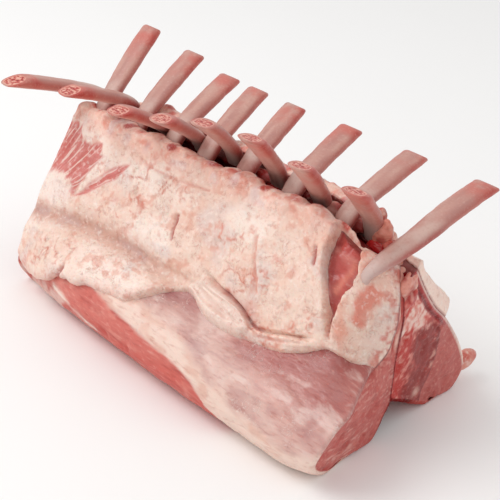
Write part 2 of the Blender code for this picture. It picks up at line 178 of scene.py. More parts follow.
# Shreds of meat between the racks, as (middle, radii, colour) in the front rack's frame.
SCRAPS = (
    ((83, 3, 101), (5, 4, 8), "E08D7A"), ((88, 3, 95), (6, 4.5, 6), "D9705F"),
    ((78.5, 5, 107), (3.5, 3.5, 5), "E6A08C"), ((83, -1, 93), (6, 3, 6), "B01A1A"),
    ((93, 1, 89), (6, 4, 7), "D98372"), ((99, -1, 84), (6, 5, 9), "E0A090"), ((102, 0, 75), (4, 4, 10), "C9564C"),
    ((103.5, 0, 86), (3, 5.5, 7), "DE9484"), ((104, 2, 79), (2.6, 4, 6), "C4443C"),
    ((80, -2, 91), (3.5, 3, 5), "DE9A8C"), ((52, 4, 100), (6, 4, 4.5), "C98478"),
    ((58, 5, 101), (4, 3.5, 4), "A8201E"), ((67, 4, 99), (6, 4, 4), "C4665C"),
    ((30, 5, 100), (6, 3.5, 3.5), "8E1A1B"), ((4, 5, 100), (7, 3.5, 3.5), "A83A35"),
)


# ---- Numbers ----------------------------------------------------------------
def ramp(low, high, value):
    """0 below low, 1 above high and a smooth S between: t * t * (3 - 2 t)."""
    t = np.clip((value - low) / (high - low), 0.0, 1.0)
    return t * t * (3 - 2 * t)


def hump(value, middle, half):
    """A bell of height 1: exp of minus the square of (value - middle) / half."""
    return np.exp(-((value - middle) / half) ** 2)


def blend(keys, places):
    """Smooth values between evenly numbered keys: a Catmull-Rom cubic through them."""
    keys = np.asarray(keys, float)
    places = np.asarray(places, float)
    last = len(keys) - 1
    start = np.clip(np.floor(places).astype(int), 0, last - 1)
    t = (places - start).reshape(places.shape + (1,) * (keys.ndim - 1))
    padded = np.concatenate([[2 * keys[0] - keys[1]], keys, [2 * keys[-1] - keys[-2]]])
    k0, k1, k2, k3 = (padded[start + i] for i in range(4))
    return 0.5 * (2 * k1 + (k2 - k0) * t + (2 * k0 - 5 * k1 + 4 * k2 - k3) * t * t
                  + (3 * k1 - k0 - 3 * k2 + k3) * t ** 3)


def line_at(places, x):
    """A smooth line through (x, value) places, read at x."""
    xs, values = np.array(places, float).T
    return blend(values, np.interp(x, xs, np.arange(len(xs))))


def noise(points, size, seed):
    """Smooth noise from -1 to 1 with cells of size mm: random values at the corners
    of a cubic lattice, blended along each axis by the S curve."""
    table = np.random.default_rng(seed).uniform(-1, 1, (32, 32, 32))
    q = np.asarray(points, float) / size + 64
    cell = np.floor(q).astype(int)
    t = q - cell
    t = t * t * (3 - 2 * t)
    total = 0
    for corner in np.ndindex(2, 2, 2):
        weight = np.prod(np.where(corner, t, 1 - t), axis=-1)
        i, j, k = np.moveaxis((cell + corner) % 32, -1, 0)
        total = total + weight * table[i, j, k]
    return total


def fractal(points, size, seed, octaves=3):
    """Layers of noise, each half the size and 0.55 of the height of the last."""
    total, height, whole = 0, 1.0, 0
    for k in range(octaves):
        total = total + height * noise(points, size / 2 ** k, seed + k)
        whole += height
        height *= 0.55
    return total / whole


def veins(points, size, seed, width):
    """Thin winding lines: near 1 where bent noise passes through zero."""
    bent = points + 0.35 * size * np.stack([noise(points, size * 0.8, seed + 7),
                                            noise(points, size * 0.8, seed + 8),
                                            noise(points, size * 0.8, seed + 9)], axis=-1)
    return np.exp(-(fractal(bent, size, seed, 2) / width) ** 2)


def curls(points, size, seed, width):
    """Short winding lines: veins that other noise cuts into pieces and gathers in places."""
    pieces = ramp(0.0, 0.35, noise(points, size * 1.1, seed + 21))
    places = ramp(-0.15, 0.35, noise(points, size * 3.5, seed + 22))
    return veins(points, size, seed, width) * pieces * places


def stroke(x, y, ends, width):
    """1 on a line through points, fading over width: the nearest distance to its pieces."""
    ends = np.array(ends, float)
    place = np.stack([x, y], axis=-1)
    near = np.full(np.shape(x), 1e9)
    for a, b in zip(ends[:-1], ends[1:]):
        along = b - a
        t = np.clip(((place - a) @ along) / (along @ along), 0, 1)
        near = np.minimum(near, np.linalg.norm(place - a - t[..., None] * along, axis=-1))
    return np.exp(-(near / width) ** 2)


def inside(x, y, outline):
    """True inside a closed outline, by counting crossings to one side."""
    outline = np.array(outline, float)
    within = np.zeros(np.shape(x), bool)
    for (x1, y1), (x2, y2) in zip(outline, np.roll(outline, -1, axis=0)):
        crosses = (y1 > y) != (y2 > y)
        within ^= crosses & (x < x1 + (x2 - x1) * (y - y1) / (y2 - y1 + 1e-9))
    return within


def edge_distance(x, y, outline):
    """Distance to a closed outline, positive inside it and negative outside."""
    outline = np.array(outline, float)
    ends = np.concatenate([outline, outline[:1]])
    place = np.stack([x, y], axis=-1)
    near = np.full(np.shape(x), 1e9)
    for a, b in zip(ends[:-1], ends[1:]):
        along = b - a
        t = np.clip(((place - a) @ along) / (along @ along), 0, 1)
        near = np.minimum(near, np.linalg.norm(place - a - t[..., None] * along, axis=-1))
    return np.where(inside(x, y, outline), near, -near)


def patch(x, y, outline, soft):
    """1 well inside an outline and 0 well outside, fading over soft on both sides."""
    return ramp(-soft, soft, edge_distance(x, y, outline))


# ---- Colours ----------------------------------------------------------------
def linear(colour):
    """An sRGB hex colour as linear red, green and blue."""
    c = np.array([int(colour[k:k + 2], 16) for k in (0, 2, 4)]) / 255
    return np.where(c <= 0.04045, c / 12.92, ((c + 0.055) / 1.055) ** 2.4)


def tint(paint, colour, amount):
    """Paint moved towards a colour by amount, from 0 to 1."""
    amount = np.clip(amount, 0, 1)[..., None]
    return paint * (1 - amount) + linear(colour) * amount


# ---- Racks ------------------------------------------------------------------
class Rack:
    """One rack's sizes, and the places on its surface."""

    def __init__(self, name, stations, outer, inner, edge, bends, tips, cut_tilt, turn):
        self.name = name
        self.stations = stations
        self.outer = outer
        self.inner = inner
        self.edge = edge
        self.bends = bends
        self.tips = tips
        self.cut_tilt = cut_tilt
        self.turn = turn
        self.front = name == "front"

    def curves(self, keys, xs):
        """The sections at xs as finely stepped curves, and the run at each step."""
        places = np.interp(xs, self.stations, np.arange(len(self.stations)))
        sections = blend(keys, places)
        steps = np.linspace(0, sections.shape[1] - 1, CURVE_STEPS)
        curve = np.moveaxis(blend(np.moveaxis(sections, 1, 0), steps), 0, 1)
        legs = np.linalg.norm(np.diff(curve, axis=1), axis=-1)
        run = np.concatenate([np.zeros((len(xs), 1)), np.cumsum(legs, axis=1)], axis=1)
        return curve, run

    def read(self, curve, run, wanted):
        """Points of each section at the wanted runs, straight on past its start."""
        points = np.empty(wanted.shape + (2,))
        for k in range(2):
            for i in range(len(wanted)):
                points[i, :, k] = np.interp(wanted[i], run[i], curve[i, :, k])
        start = curve[:, 3] - curve[:, 0]
        start /= np.linalg.norm(start, axis=-1)[:, None]
        return points + np.minimum(wanted, 0)[..., None] * start[:, None, :]

    def skin(self, keys, xs, wanted):
        """Points at the wanted runs and the unit normals that face off the rack."""
        curve, run = self.curves(keys, xs)
        points = self.read(curve, run, wanted)
        ahead = self.read(curve, run, wanted + 1.2) - self.read(curve, run, wanted - 1.2)
        normal = np.stack([ahead[..., 1], -ahead[..., 0]], axis=-1)
        normal /= np.linalg.norm(normal, axis=-1)[..., None] + 1e-9
        if keys is self.inner:
            normal = -normal
        return points, normal

    def swell(self, xs, wanted):
        """How far the lean rises under the bare patch beside the last bone."""
        if not self.front:
            return np.zeros(wanted.shape)
        return SWELL * hump(xs, SWELL_MIDDLE, SWELL_HALF)[:, None] * (1 - ramp(14, 40, wanted))

    def stand(self, xs, points):
        """Section points as 3-D points: the loin's cut end bulges and the slab's slopes back."""
        points = points.copy()
        points[..., 1] = np.maximum(points[..., 1], 0)
        near = ramp(self.stations[-1] - 40, self.stations[-1], xs)[:, None]
        out = np.clip((-points[..., 0] - 22) / 26, 0, 1)
        level = hump(points[..., 1], 38, 26)
        drop = END_DROP * np.clip(points[..., 1] - END_DROP_FROM, 0, None) ** 2
        x = xs[:, None] + near * (LOIN_END_BULGE * out * level - drop)
        return np.concatenate([x[..., None], points], axis=-1)

    def place(self, points):
        """The rack's points in mm as world points in metres."""
        turned = points * np.array((self.turn, self.turn, 1))
        return (turned - MIDDLE) * MM


FRONT = Rack("front", FRONT_STATIONS, FRONT_OUTER, FRONT_INNER, FRONT_EDGE,
             FRONT_BENDS, FRONT_TIPS, FRONT_CUT_TILT, 1)
REAR = Rack("rear", REAR_STATIONS, REAR_OUTER, REAR_INNER, REAR_EDGE,
            REAR_BENDS, REAR_TIPS, REAR_CUT_TILT, -1)


# ---- Meshes -----------------------------------------------------------------
def quads(rows, columns, first=0, round_rows=False):
    """Corner numbers of a grid of rows x columns points, closed round its rows if asked."""
    i = np.arange(rows if round_rows else rows - 1)[:, None]
    j = np.arange(columns - 1)[None, :]
    k = (i + 1) % rows
    corners = [i * columns + j, i * columns + j + 1, k * columns + j + 1, k * columns + j]
    return first + np.stack([np.broadcast_to(c, (len(i), columns - 1)) for c in corners],
                            axis=-1).reshape(-1, 4)


def make_piece(name, points, faces, paint, extra, material):
    """A smooth closed mesh with its colours and masks as point attributes.

    Points that lie together are merged, and the faces then turned outwards.
    """
    mesh = bpy.data.meshes.new(name)
    mesh.from_pydata(points.reshape(-1, 3).tolist(), [], faces.tolist())
    layer = mesh.attributes.new("tone", 'FLOAT_COLOR', 'POINT')
    colours = np.concatenate([paint.reshape(-1, 3), np.ones((len(paint.reshape(-1, 3)), 1))], axis=1)
    layer.data.foreach_set("color", colours.ravel())
    for key, values in extra.items():
        layer = mesh.attributes.new(key, 'FLOAT', 'POINT')
        layer.data.foreach_set("value", np.ravel(values).astype(np.float32))
    bm = bmesh.new()
    bm.from_mesh(mesh)
    bmesh.ops.remove_doubles(bm, verts=bm.verts, dist=0.00001)
    bmesh.ops.recalc_face_normals(bm, faces=bm.faces)
    bm.to_mesh(mesh)
    bm.free()
    mesh.shade_smooth()
    mesh.materials.append(material)
    piece = bpy.data.objects.new(name, mesh)
    bpy.context.scene.collection.objects.link(piece)
    return piece


def ladder_body(outer, inner, rungs):
    """A closed body from an outer and an inner sheet of the same grid size.

    Returns one array of points and its faces: a ring of outer, foot, inner and
    top points for each row, and a face of rungs at each end.  A rung's point is
    the straight blend of its outer and inner point.
    """
    n, m = outer.shape[:2]
    share = np.linspace(0, 1, rungs + 1)[1:-1][None, :, None]
    foot = outer[:, -1:, :] * (1 - share) + inner[:, -1:, :] * share
    top = inner[:, :1, :] * (1 - share) + outer[:, :1, :] * share
    ring = np.concatenate([outer, foot, inner[:, ::-1], top], axis=1)
    count = ring.shape[1]
    faces = [quads(count, n, 0, True)]
    sheets = [np.moveaxis(ring, 0, 1).reshape(-1, ring.shape[-1])]
    first = count * n
    share = np.linspace(0, 1, rungs + 1)[None, :, None]
    for row in (0, n - 1):
        cap = outer[row][:, None, :] * (1 - share) + inner[row][:, None, :] * share
        faces.append(quads(m, rungs + 1, first))
        sheets.append(cap.reshape(-1, ring.shape[-1]))
        first += m * (rungs + 1)
    return np.concatenate(sheets), np.concatenate(faces), count * n


def end_rows(first, last, step):
    """Places along the rack, closer together over the last few mm at each end."""
    middle = np.linspace(first + 3, last - 3, int((last - first - 6) / step))
    near = np.array((0, 0.25, 0.6, 1.1, 1.8))
    return np.concatenate([first + near, middle, last - near[::-1]])


# ---- Lean -------------------------------------------------------------------
def round_ends(xs, first, last, radius):
    """How far the skin draws in near a cut end, to round its rim: a quarter circle."""
    near = np.clip(radius - np.minimum(xs - first, last - xs), 0, radius)
    return radius - np.sqrt(radius ** 2 - near ** 2)


def paint_skin(rack, x, run, place):
    """Colours of the lean's outer side: silverskin, fat strips and bare muscle."""
    low = fractal(place, 26, 40, 3)
    fine = fractal(place * (0.4, 1, 1), 4.5, 44, 3)
    cloud = fractal(place * (0.6, 1, 1), 12, 47, 3)
    paint = np.broadcast_to(linear("DDB9AE"), x.shape + (3,)).copy()
    paint = tint(paint, "C58E88", ramp(-0.05, 0.4, cloud) * 0.5)
    paint = tint(paint, "E7C8BC", ramp(0.05, 0.45, low) * 0.6)
    paint = tint(paint, "AE8283", ramp(0.15, 0.5, fractal(place, 15, 52, 2)) * 0.4)
    wet = np.full(x.shape, 0.55)
    skinned = np.ones(x.shape)
    wave = 2.0 * fine + 3.0 * noise(place, 11, 50) + 1.2 * noise(place, 4, 51)
    if rack.front:
        upper = line_at(((-117, 78), (-60, 80), (-37, 83), (-25, 77), (-14, 79), (0, 83), (11, 86),
                         (24, 90), (35, 94), (54, 99), (70, 100), (107, 101)), x)
        lower = line_at(((-117, 86), (-60, 86), (-37, 87), (-18, 92), (0, 95), (17, 98), (32, 103),
                         (46, 112), (70, 140), (107, 150)), x)
        strip = ramp(-4, 3, run - upper + wave) * ramp(-1.6, 1.6, lower - run + 0.6 * wave)
        strip *= ramp(-66, -36, x)
        red = ramp(-1.8, 1.8, run - lower - 0.6 * wave)
        rosy = ramp(24, 70, x + 9 * low) * ramp(0, 24, 94 - run + 7 * cloud)
        near_fat = ramp(17, 2, run - line_at(FRONT_EDGE, x))
        paint = tint(paint, "B0655F", rosy * 0.85)
        paint = tint(paint, "A3504A", near_fat * ramp(30, 84, x) * 0.8)
        paint = tint(paint, "8C4B4D", hump(x, -7, 12) * hump(run, 68, 5) * 0.9)
        paint = tint(paint, "AE7472", hump(x, 8, 20) * near_fat * 0.75)
        paint = tint(paint, "D9A79C", stroke(x, run, ((66, 78), (80, 82), (94, 92)), 5) * 0.4)
        strands = fractal(place * (0.25, 1, 1), 5, 93, 2)
        paint = tint(paint, "CF6E63", red * 0.97)
        paint = tint(paint, "B24A43", red * ramp(0.0, 0.4, -strands) * 0.75)
        paint = tint(paint, "C7493E", red * ramp(98, 112, run) * 0.5)
        paint = tint(paint, "E0988A", red * ramp(0.1, 0.5, fine) * 0.55)
        web = patch(x + 3 * fine, run + 2 * cloud, WEB, 2)
        paint = tint(paint, "DDB9AE", web * ramp(-0.35, 0.15, fractal(place, 9, 55, 3)) * 0.9)
        seams = stroke(x, run, TENDON, 1.8 + 0.8 * fine)
        paint = tint(paint, "EED9CC", seams * ramp(-0.4, 0.1, fine + 0.2))
        paint = tint(paint, "EED3C5", strip * 0.92)
        paint = tint(paint, "DDAF9E", strip * ramp(0.0, 0.35, fine) * 0.7)
        wet = 0.35 + 0.65 * rosy
        skinned = (1 - red) * (1 - strip)
        leaf = patch(x, run, LEAF, 3)
        paint = tint(paint, "BE524B", leaf)
        paint = tint(paint, "8E3B39", leaf * ramp(82, 73, x - 0.35 * run + 4 * cloud) * 0.9)
        paint = tint(paint, "DD8A76", leaf * stroke(x, run, ((91, 6), (88, 14), (84, 22)), 1.6) * 0.7)
        sheen = leaf * ramp(14, -2, run) * ramp(0.0, 0.4, noise(place, 3.5, 57))
        paint = tint(paint, "E3A093", sheen * 0.7)
        paint = tint(paint, "C23A33", leaf * ramp(6, -4, run) * 0.5)
        wet = np.maximum(wet, leaf)
        skinned *= 1 - leaf
    else:
        strip = ramp(-4, 3, run - 88 + wave - 0.05 * x) * (1 - ramp(-3, 3, run - 104 + wave))
        red = ramp(-3, 3, run - 104 + wave)
        paint = tint(paint, "C9685F", red * 0.95)
        paint = tint(paint, "AD4B45", red * ramp(0.0, 0.45, cloud) * 0.8)
        paint = tint(paint, "EED3C5", strip * 0.92)
        paint = tint(paint, "E2B8A4", strip * ramp(0.0, 0.45, cloud) * 0.7)
        skinned = (1 - red) * (1 - strip)
    # painted shade: dark red along the slab's top edge, where it shows deep in the gaps between the bones
    paint = tint(paint, "7A2320", ramp(2, -1, run))
    return paint, wet, skinned


def paint_rib_side(rack, x, run, place):
    """Colours of the hollow side: moist membrane over muscle, made dark red to near black as painted shade for
    the deep gaps between the racks.
    """
    cloud = fractal(place, 12, 60, 3)
    # painted shade: these near-black reds stand for the shade deep in the hollow between the racks
    paint = np.broadcast_to(linear("7C0D0F"), x.shape + (3,)).copy()
    paint = tint(paint, "4A0507", ramp(-0.1, 0.4, cloud))
    # lighter red towards the foot, where the painted shade gives way
    paint = tint(paint, "B4514A", ramp(12, 3, place[..., 2]))
    paint = tint(paint, "A32020", ramp(0.3, 0.6, fractal(place, 7, 63, 2)) * 0.6 * ramp(70, 90, place[..., 2]))
    return paint, np.zeros(x.shape), np.zeros(x.shape)


def paint_cut(rack, loin_end, depth, down, place):
    """Colours of a cut face: the round loin muscle, seams of fat and thin slab layers.

    depth is the distance in mm from the outer side, and down goes from 0 at the
    slab's top to 1 under the loin.
    """
    y, z = place[:, 1], place[:, 2]
    low = fractal(place, 12, 70, 3)
    grain = fractal(place, 2.6, 74, 3)
    fleck = noise(place, 1.3, 77)
    paint = np.broadcast_to(linear("BE5F58"), y.shape + (3,)).copy()
    paint = tint(paint, "C87067", ramp(-0.05, 0.45, low) * 0.6)
    paint = tint(paint, "D68D80", ramp(0.15, 0.5, grain) * 0.35)
    paint = tint(paint, "A34640", ramp(0.1, 0.5, fractal(place, 7, 78, 2)) * 0.5)
    wet = np.full(y.shape, 0.25)
    if loin_end:
        scuff = noise(np.stack([0 * y, y / 6, z / 1.2], axis=-1), 1, 79)
        paint = tint(paint, "E0ACA0", ramp(0.3, 0.6, scuff) * ramp(-0.2, 0.3, low) * 0.6)
        paint = tint(paint, "B0453E", ramp(4.5, 1.5, depth + grain) * ramp(0.42, 0.5, down) * 0.75)
        paint = tint(paint, "EBC9BC", ramp(1.3, 0.5, depth + 0.4 * grain) * ramp(0.42, 0.5, down))
        slab = ramp(50, 58, z)
        paint = tint(paint, "B4473F", slab * 0.9)
        paint = tint(paint, "EBBFB0", slab * ramp(-0.1, 0.3, noise(place * (1, 1, 0.2), 2.2, 81)))
    else:
        bend = -33 - 5 * np.sin((z - 8) / 16) + 3 * low
        eye = ramp(60, 54, z + 3 * low)
        paint = tint(paint, "BE6861", eye * 0.6)
        dark = ramp(-1.5, 1.5, y - bend) * eye
        paint = tint(paint, "8E3A38", dark * 0.85)
        paint = tint(paint, "B84A43", dark * ramp(0.05, 0.4, grain) * 0.6)
        paint = tint(paint, "6A2021", hump(y, bend, 0.9) * eye * 0.6)
        paint = tint(paint, "94413C", hump(y, bend + 10, 0.8) * eye * 0.4)
        pale = np.exp(-((y + 36) ** 2 + (z - 34) ** 2) / 9) + np.exp(-((y + 38) ** 2 + (z - 27) ** 2) / 4)
        paint = tint(paint, "E3AC9D", ramp(0.4, 0.9, pale + 0.6 * grain) * 0.6)
        edge = ramp(-19, -11, y + 4 * grain) * ramp(72, 58, z)
        paint = tint(paint, "C23E37", edge * 0.85)
        paint = tint(paint, "E9A99B", edge * ramp(0.05, 0.4, grain + 0.4 * low) * 0.7)
        slab = ramp(53, 60, z + 5 * grain + 2 * low)
        paint = tint(paint, "C9463E", slab * 0.9)
        paint = tint(paint, "E7A295", slab * ramp(-0.4, 0.0, grain + 0.4 * low) * 0.85)
        paint = tint(paint, "F0CFC3", slab * ramp(0.0, 0.3, grain + 0.5 * low) * 0.9)
        seam = ramp(5.6, 4.6, depth + 1.2 * grain) * ramp(48, 54, z)
        paint = tint(paint, "B01618", seam * 0.95)
        paint = tint(paint, "570C0D", hump(depth, 3.2, 1.2) * ramp(48, 54, z) * 0.7)
        paint = tint(paint, "EFC6B7", np.exp(-((y + 27) ** 2 + (z - 15) ** 2) / 6) * 0.7)
        wet = wet + 0.7 * seam
    paint = tint(paint, "EBC0B3", ramp(0.55, 0.8, fleck) * 0.35)
    return paint, wet, np.zeros(y.shape)


def skin_relief(rack, x, run, place):
    """Height of the lean's skin in mm: low swells, fine wrinkles and the raised strips."""
    height = (0.9 * fractal(place, 22, 80, 3) + 0.3 * fractal(place * (0.5, 1, 1), 5, 84, 3)
              - 0.5 * veins(place * (0.6, 1, 1), 11, 86, 0.06))
    if rack.front:
        leaf = patch(x, run, LEAF, 3)
        height = height + leaf * (1.3 * noise(place, 6, 88) + 0.8 * noise(place, 3, 89))
        height = height - 2.6 * ramp(-92, -117, x) * ramp(58, 88, run)
        wrinkled = ramp(52, 84, x) * ramp(60, 70, run) * ramp(104, 92, run)
        height = height - 0.45 * wrinkled * np.abs(fractal(place * (0.7, 1, 1), 5, 91, 2)) ** 0.5
        red = ramp(-2, 2, run - line_at(((-117, 86), (-37, 87), (0, 95), (32, 103), (46, 112), (107, 150)), x))
        strands = fractal(place * (0.25, 1, 1), 5, 93, 2)
        height = height - 0.7 * red + 0.7 * red * strands
    return height


def make_lean(rack, looks, material):
    """The lean of one rack: its outer side, its rib side and two cut faces."""
    first, last = rack.stations[0] + END_INSET, rack.stations[-1] - END_INSET
    xs = end_rows(first, last, LEAN_STEP)
    fade = (ramp(0, 4, xs - first) * ramp(0, 4, last - xs))[:, None]
    draw = round_ends(xs, first, last, 1.8)[:, None]
    foot_draw = round_ends(xs, first, last, FOOT_ROUND)[:, None]
    sheets, paints, wets, skins = [], [], [], []
    for keys in (rack.outer, rack.inner):
        length = rack.curves(keys, xs)[1][:, -1]
        wanted = np.linspace(0, 1, LEAN_POINTS)[None, :] * length[:, None]
        points, normal = rack.skin(keys, xs, wanted)
        x = np.broadcast_to(xs[:, None], wanted.shape)
        place = rack.stand(xs, points)
        if keys is rack.outer:
            lift = rack.swell(xs, wanted) + skin_relief(rack, x, wanted, place) * fade * looks.lean_relief
            paint, wet, skinned = paint_skin(rack, x, wanted, place)
        else:
            lift = 0.6 * fractal(place, 16, 90, 2) * fade
            meeting = ramp(80, 100, x) if rack.front else ramp(-70, -100, x)
            lift = lift + CLOSING * meeting * ramp(102, 88, place[..., 2]) * ramp(12, 24, place[..., 2])
            paint, wet, skinned = paint_rib_side(rack, x, wanted, place)
        low = ramp(18, 4, points[..., 1])
        lift = lift * ramp(0, 3, points[..., 1]) - draw * (1 - low) - foot_draw * low - 0.4
        sheets.append(rack.stand(xs, points + normal * lift[..., None]))
        paints.append(paint)
        wets.append(wet)
        skins.append(skinned)
    stacks = [np.concatenate([sheets[k], paints[k], wets[k][..., None], skins[k][..., None]], axis=-1)
              for k in range(2)]
    body, faces, skin_count = ladder_body(stacks[0], stacks[1], LEAN_RUNGS)
    points, paint, wet, skinned = body[:, :3], body[:, 3:6], body[:, 6], body[:, 7]
    cut_count = LEAN_POINTS * (LEAN_RUNGS + 1)
    for number, loin_end in ((0, False), (1, True)):
        part = slice(skin_count + number * cut_count, skin_count + (number + 1) * cut_count)
        share = np.tile(np.linspace(0, 1, LEAN_RUNGS + 1), LEAN_POINTS)
        down = np.repeat(np.linspace(0, 1, LEAN_POINTS), LEAN_RUNGS + 1)
        rows = points[part].reshape(LEAN_POINTS, LEAN_RUNGS + 1, 3)
        broad = np.linalg.norm(rows[:, -1] - rows[:, 0], axis=-1).repeat(LEAN_RUNGS + 1)
        face, face_wet, face_skinned = paint_cut(rack, loin_end, share * broad, down, points[part])
        inner = ramp(0, 1.0, share * broad) * ramp(0, 1.5, (1 - share) * broad) * ramp(0, 0.02, 1 - down)
        paint[part] = paint[part] * (1 - inner[:, None]) + face * inner[:, None]
        wet[part] = face_wet
        skinned[part] = face_skinned
        soft = ramp(0, 4, share * broad) * ramp(0, 4, (1 - share) * broad) * ramp(0, 0.04, down)
        relief = 1.2 * fractal(points[part], 10, 95, 3) - 0.8 * ramp(0.1, 0.5, noise(points[part], 5, 98))
        points[part, 0] += relief * soft * (1 if loin_end else -1) - (0.3 if loin_end else -0.3) * soft
    return make_piece(rack.name + "_loin_meat", rack.place(points), faces, paint,
                      {"wet": wet, "skinned": skinned}, material)


# ---- Fat --------------------------------------------------------------------
def fat_edge(rack, xs):
    """The cap's lower edge: the edge line with small ragged steps."""
    spots = np.stack([xs, np.zeros(len(xs)), np.zeros(len(xs))], axis=-1)
    rough = 1.4 - 0.9 * hump(xs, 32, 34) if rack.front else 1.4
    return line_at(rack.edge, xs) + rough * fractal(spots, 7, 100, 3)


def fat_relief(rack, x, run, place):
    """Height of the fat in mm: lumps of three sizes, curls, the valley, the flap and folds."""
    rough = ramp(-0.3, 0.4, fractal(place, 34, 122, 2) + 0.5 * ramp(20, 2, run))
    height = 1.3 * fractal(place, 24, 110, 2)
    lumps = (0.6 + 0.8 * rough) * fractal(place, 9, 113, 2)
    lumps += (0.15 + 0.45 * rough) * fractal(place, 4.2, 116, 3)
    lumps -= (0.5 + 0.4 * rough) * curls(place, 8, 144, 0.10)
    lumps -= (0.2 + 0.3 * rough) * curls(place, 4.5, 150, 0.14)
    lumps += 2.0 * ramp(13, 2, run) * np.abs(noise(place, 6.5, 118)) - 0.6 * ramp(13, 2, run)
    if not rack.front:
        return height + lumps
    valley = line_at(VALLEY, np.minimum(x, 0))
    flap = patch(x, run, FLAP, 1.2)
    lumps *= (1 - 0.75 * flap) * (1 - 0.5 * hump(run, valley, 9) * ramp(0, -20, x))
    height += lumps
    height -= 2.2 * hump(run, valley, 6.5) * ramp(12, -8, x)
    height += 1.5 * hump(run, valley + 15, 9) * ramp(0, -20, x)
    crease = line_at(CREASE, np.clip(x, 14, 82))
    open_part = ramp(10, 20, x) * ramp(84, 74, x)
    height -= 2.8 * hump(run, crease - 0.6, 0.85) * open_part
    height += 2.4 * flap + 0.9 * hump(run, crease + 2.2, 1.6) * open_part
    edge = line_at(FRONT_EDGE, x)
    roll = ramp(40, 52, x) * ramp(86, 76, x)
    height += 1.6 * roll * hump(run, 0.5 * (crease + edge), 2.6) - 0.8 * roll * hump(run, edge - 1.5, 1.0)
    height += 1.3 * hump(x, 30, 30) * hump(run, edge - 2.5, 2.2)
    height += 0.8 * stroke(x, run, ((16, 57), (27, 62), (37, 66), (46, 69)), 1.3)
    height -= 1.1 * stroke(x, run, ((50, 65), (57, 66), (65, 63), (72, 58), (78, 53)), 0.9)
    for slit in SLITS:
        height -= 1.8 * stroke(x, run, slit, 0.9)
    height -= 1.2 * stroke(x, run, GROOVE, 1.2)
    height += 0.9 * stroke(x, run, np.array(GROOVE) + (3.2, 0.5), 1.6)
    lobes = patch(x, run, STRIPES, 2) + patch(x, run, STRIPES_LOW, 1.5)
    height -= 0.7 * lobes
    height -= 0.8 * stroke(x, run, LONG_CREASE, 1.0)
    height -= 2.2 * stroke(x, run, LEAF_TAIL, 1.1)
    height += 1.6 * hump(x, 76, 7) * ramp(26, 10, run)
    height += 2.2 * hump(x, 99, 9) * hump(run, 24, 12)
    height -= 2.6 * stroke(x, run, NOTCH, 1.9)
    height += 1.8 * hump(x, -60, 9) * hump(run, 83, 7) + 1.4 * hump(x, -92, 14) * hump(run, 90, 6)
    return height


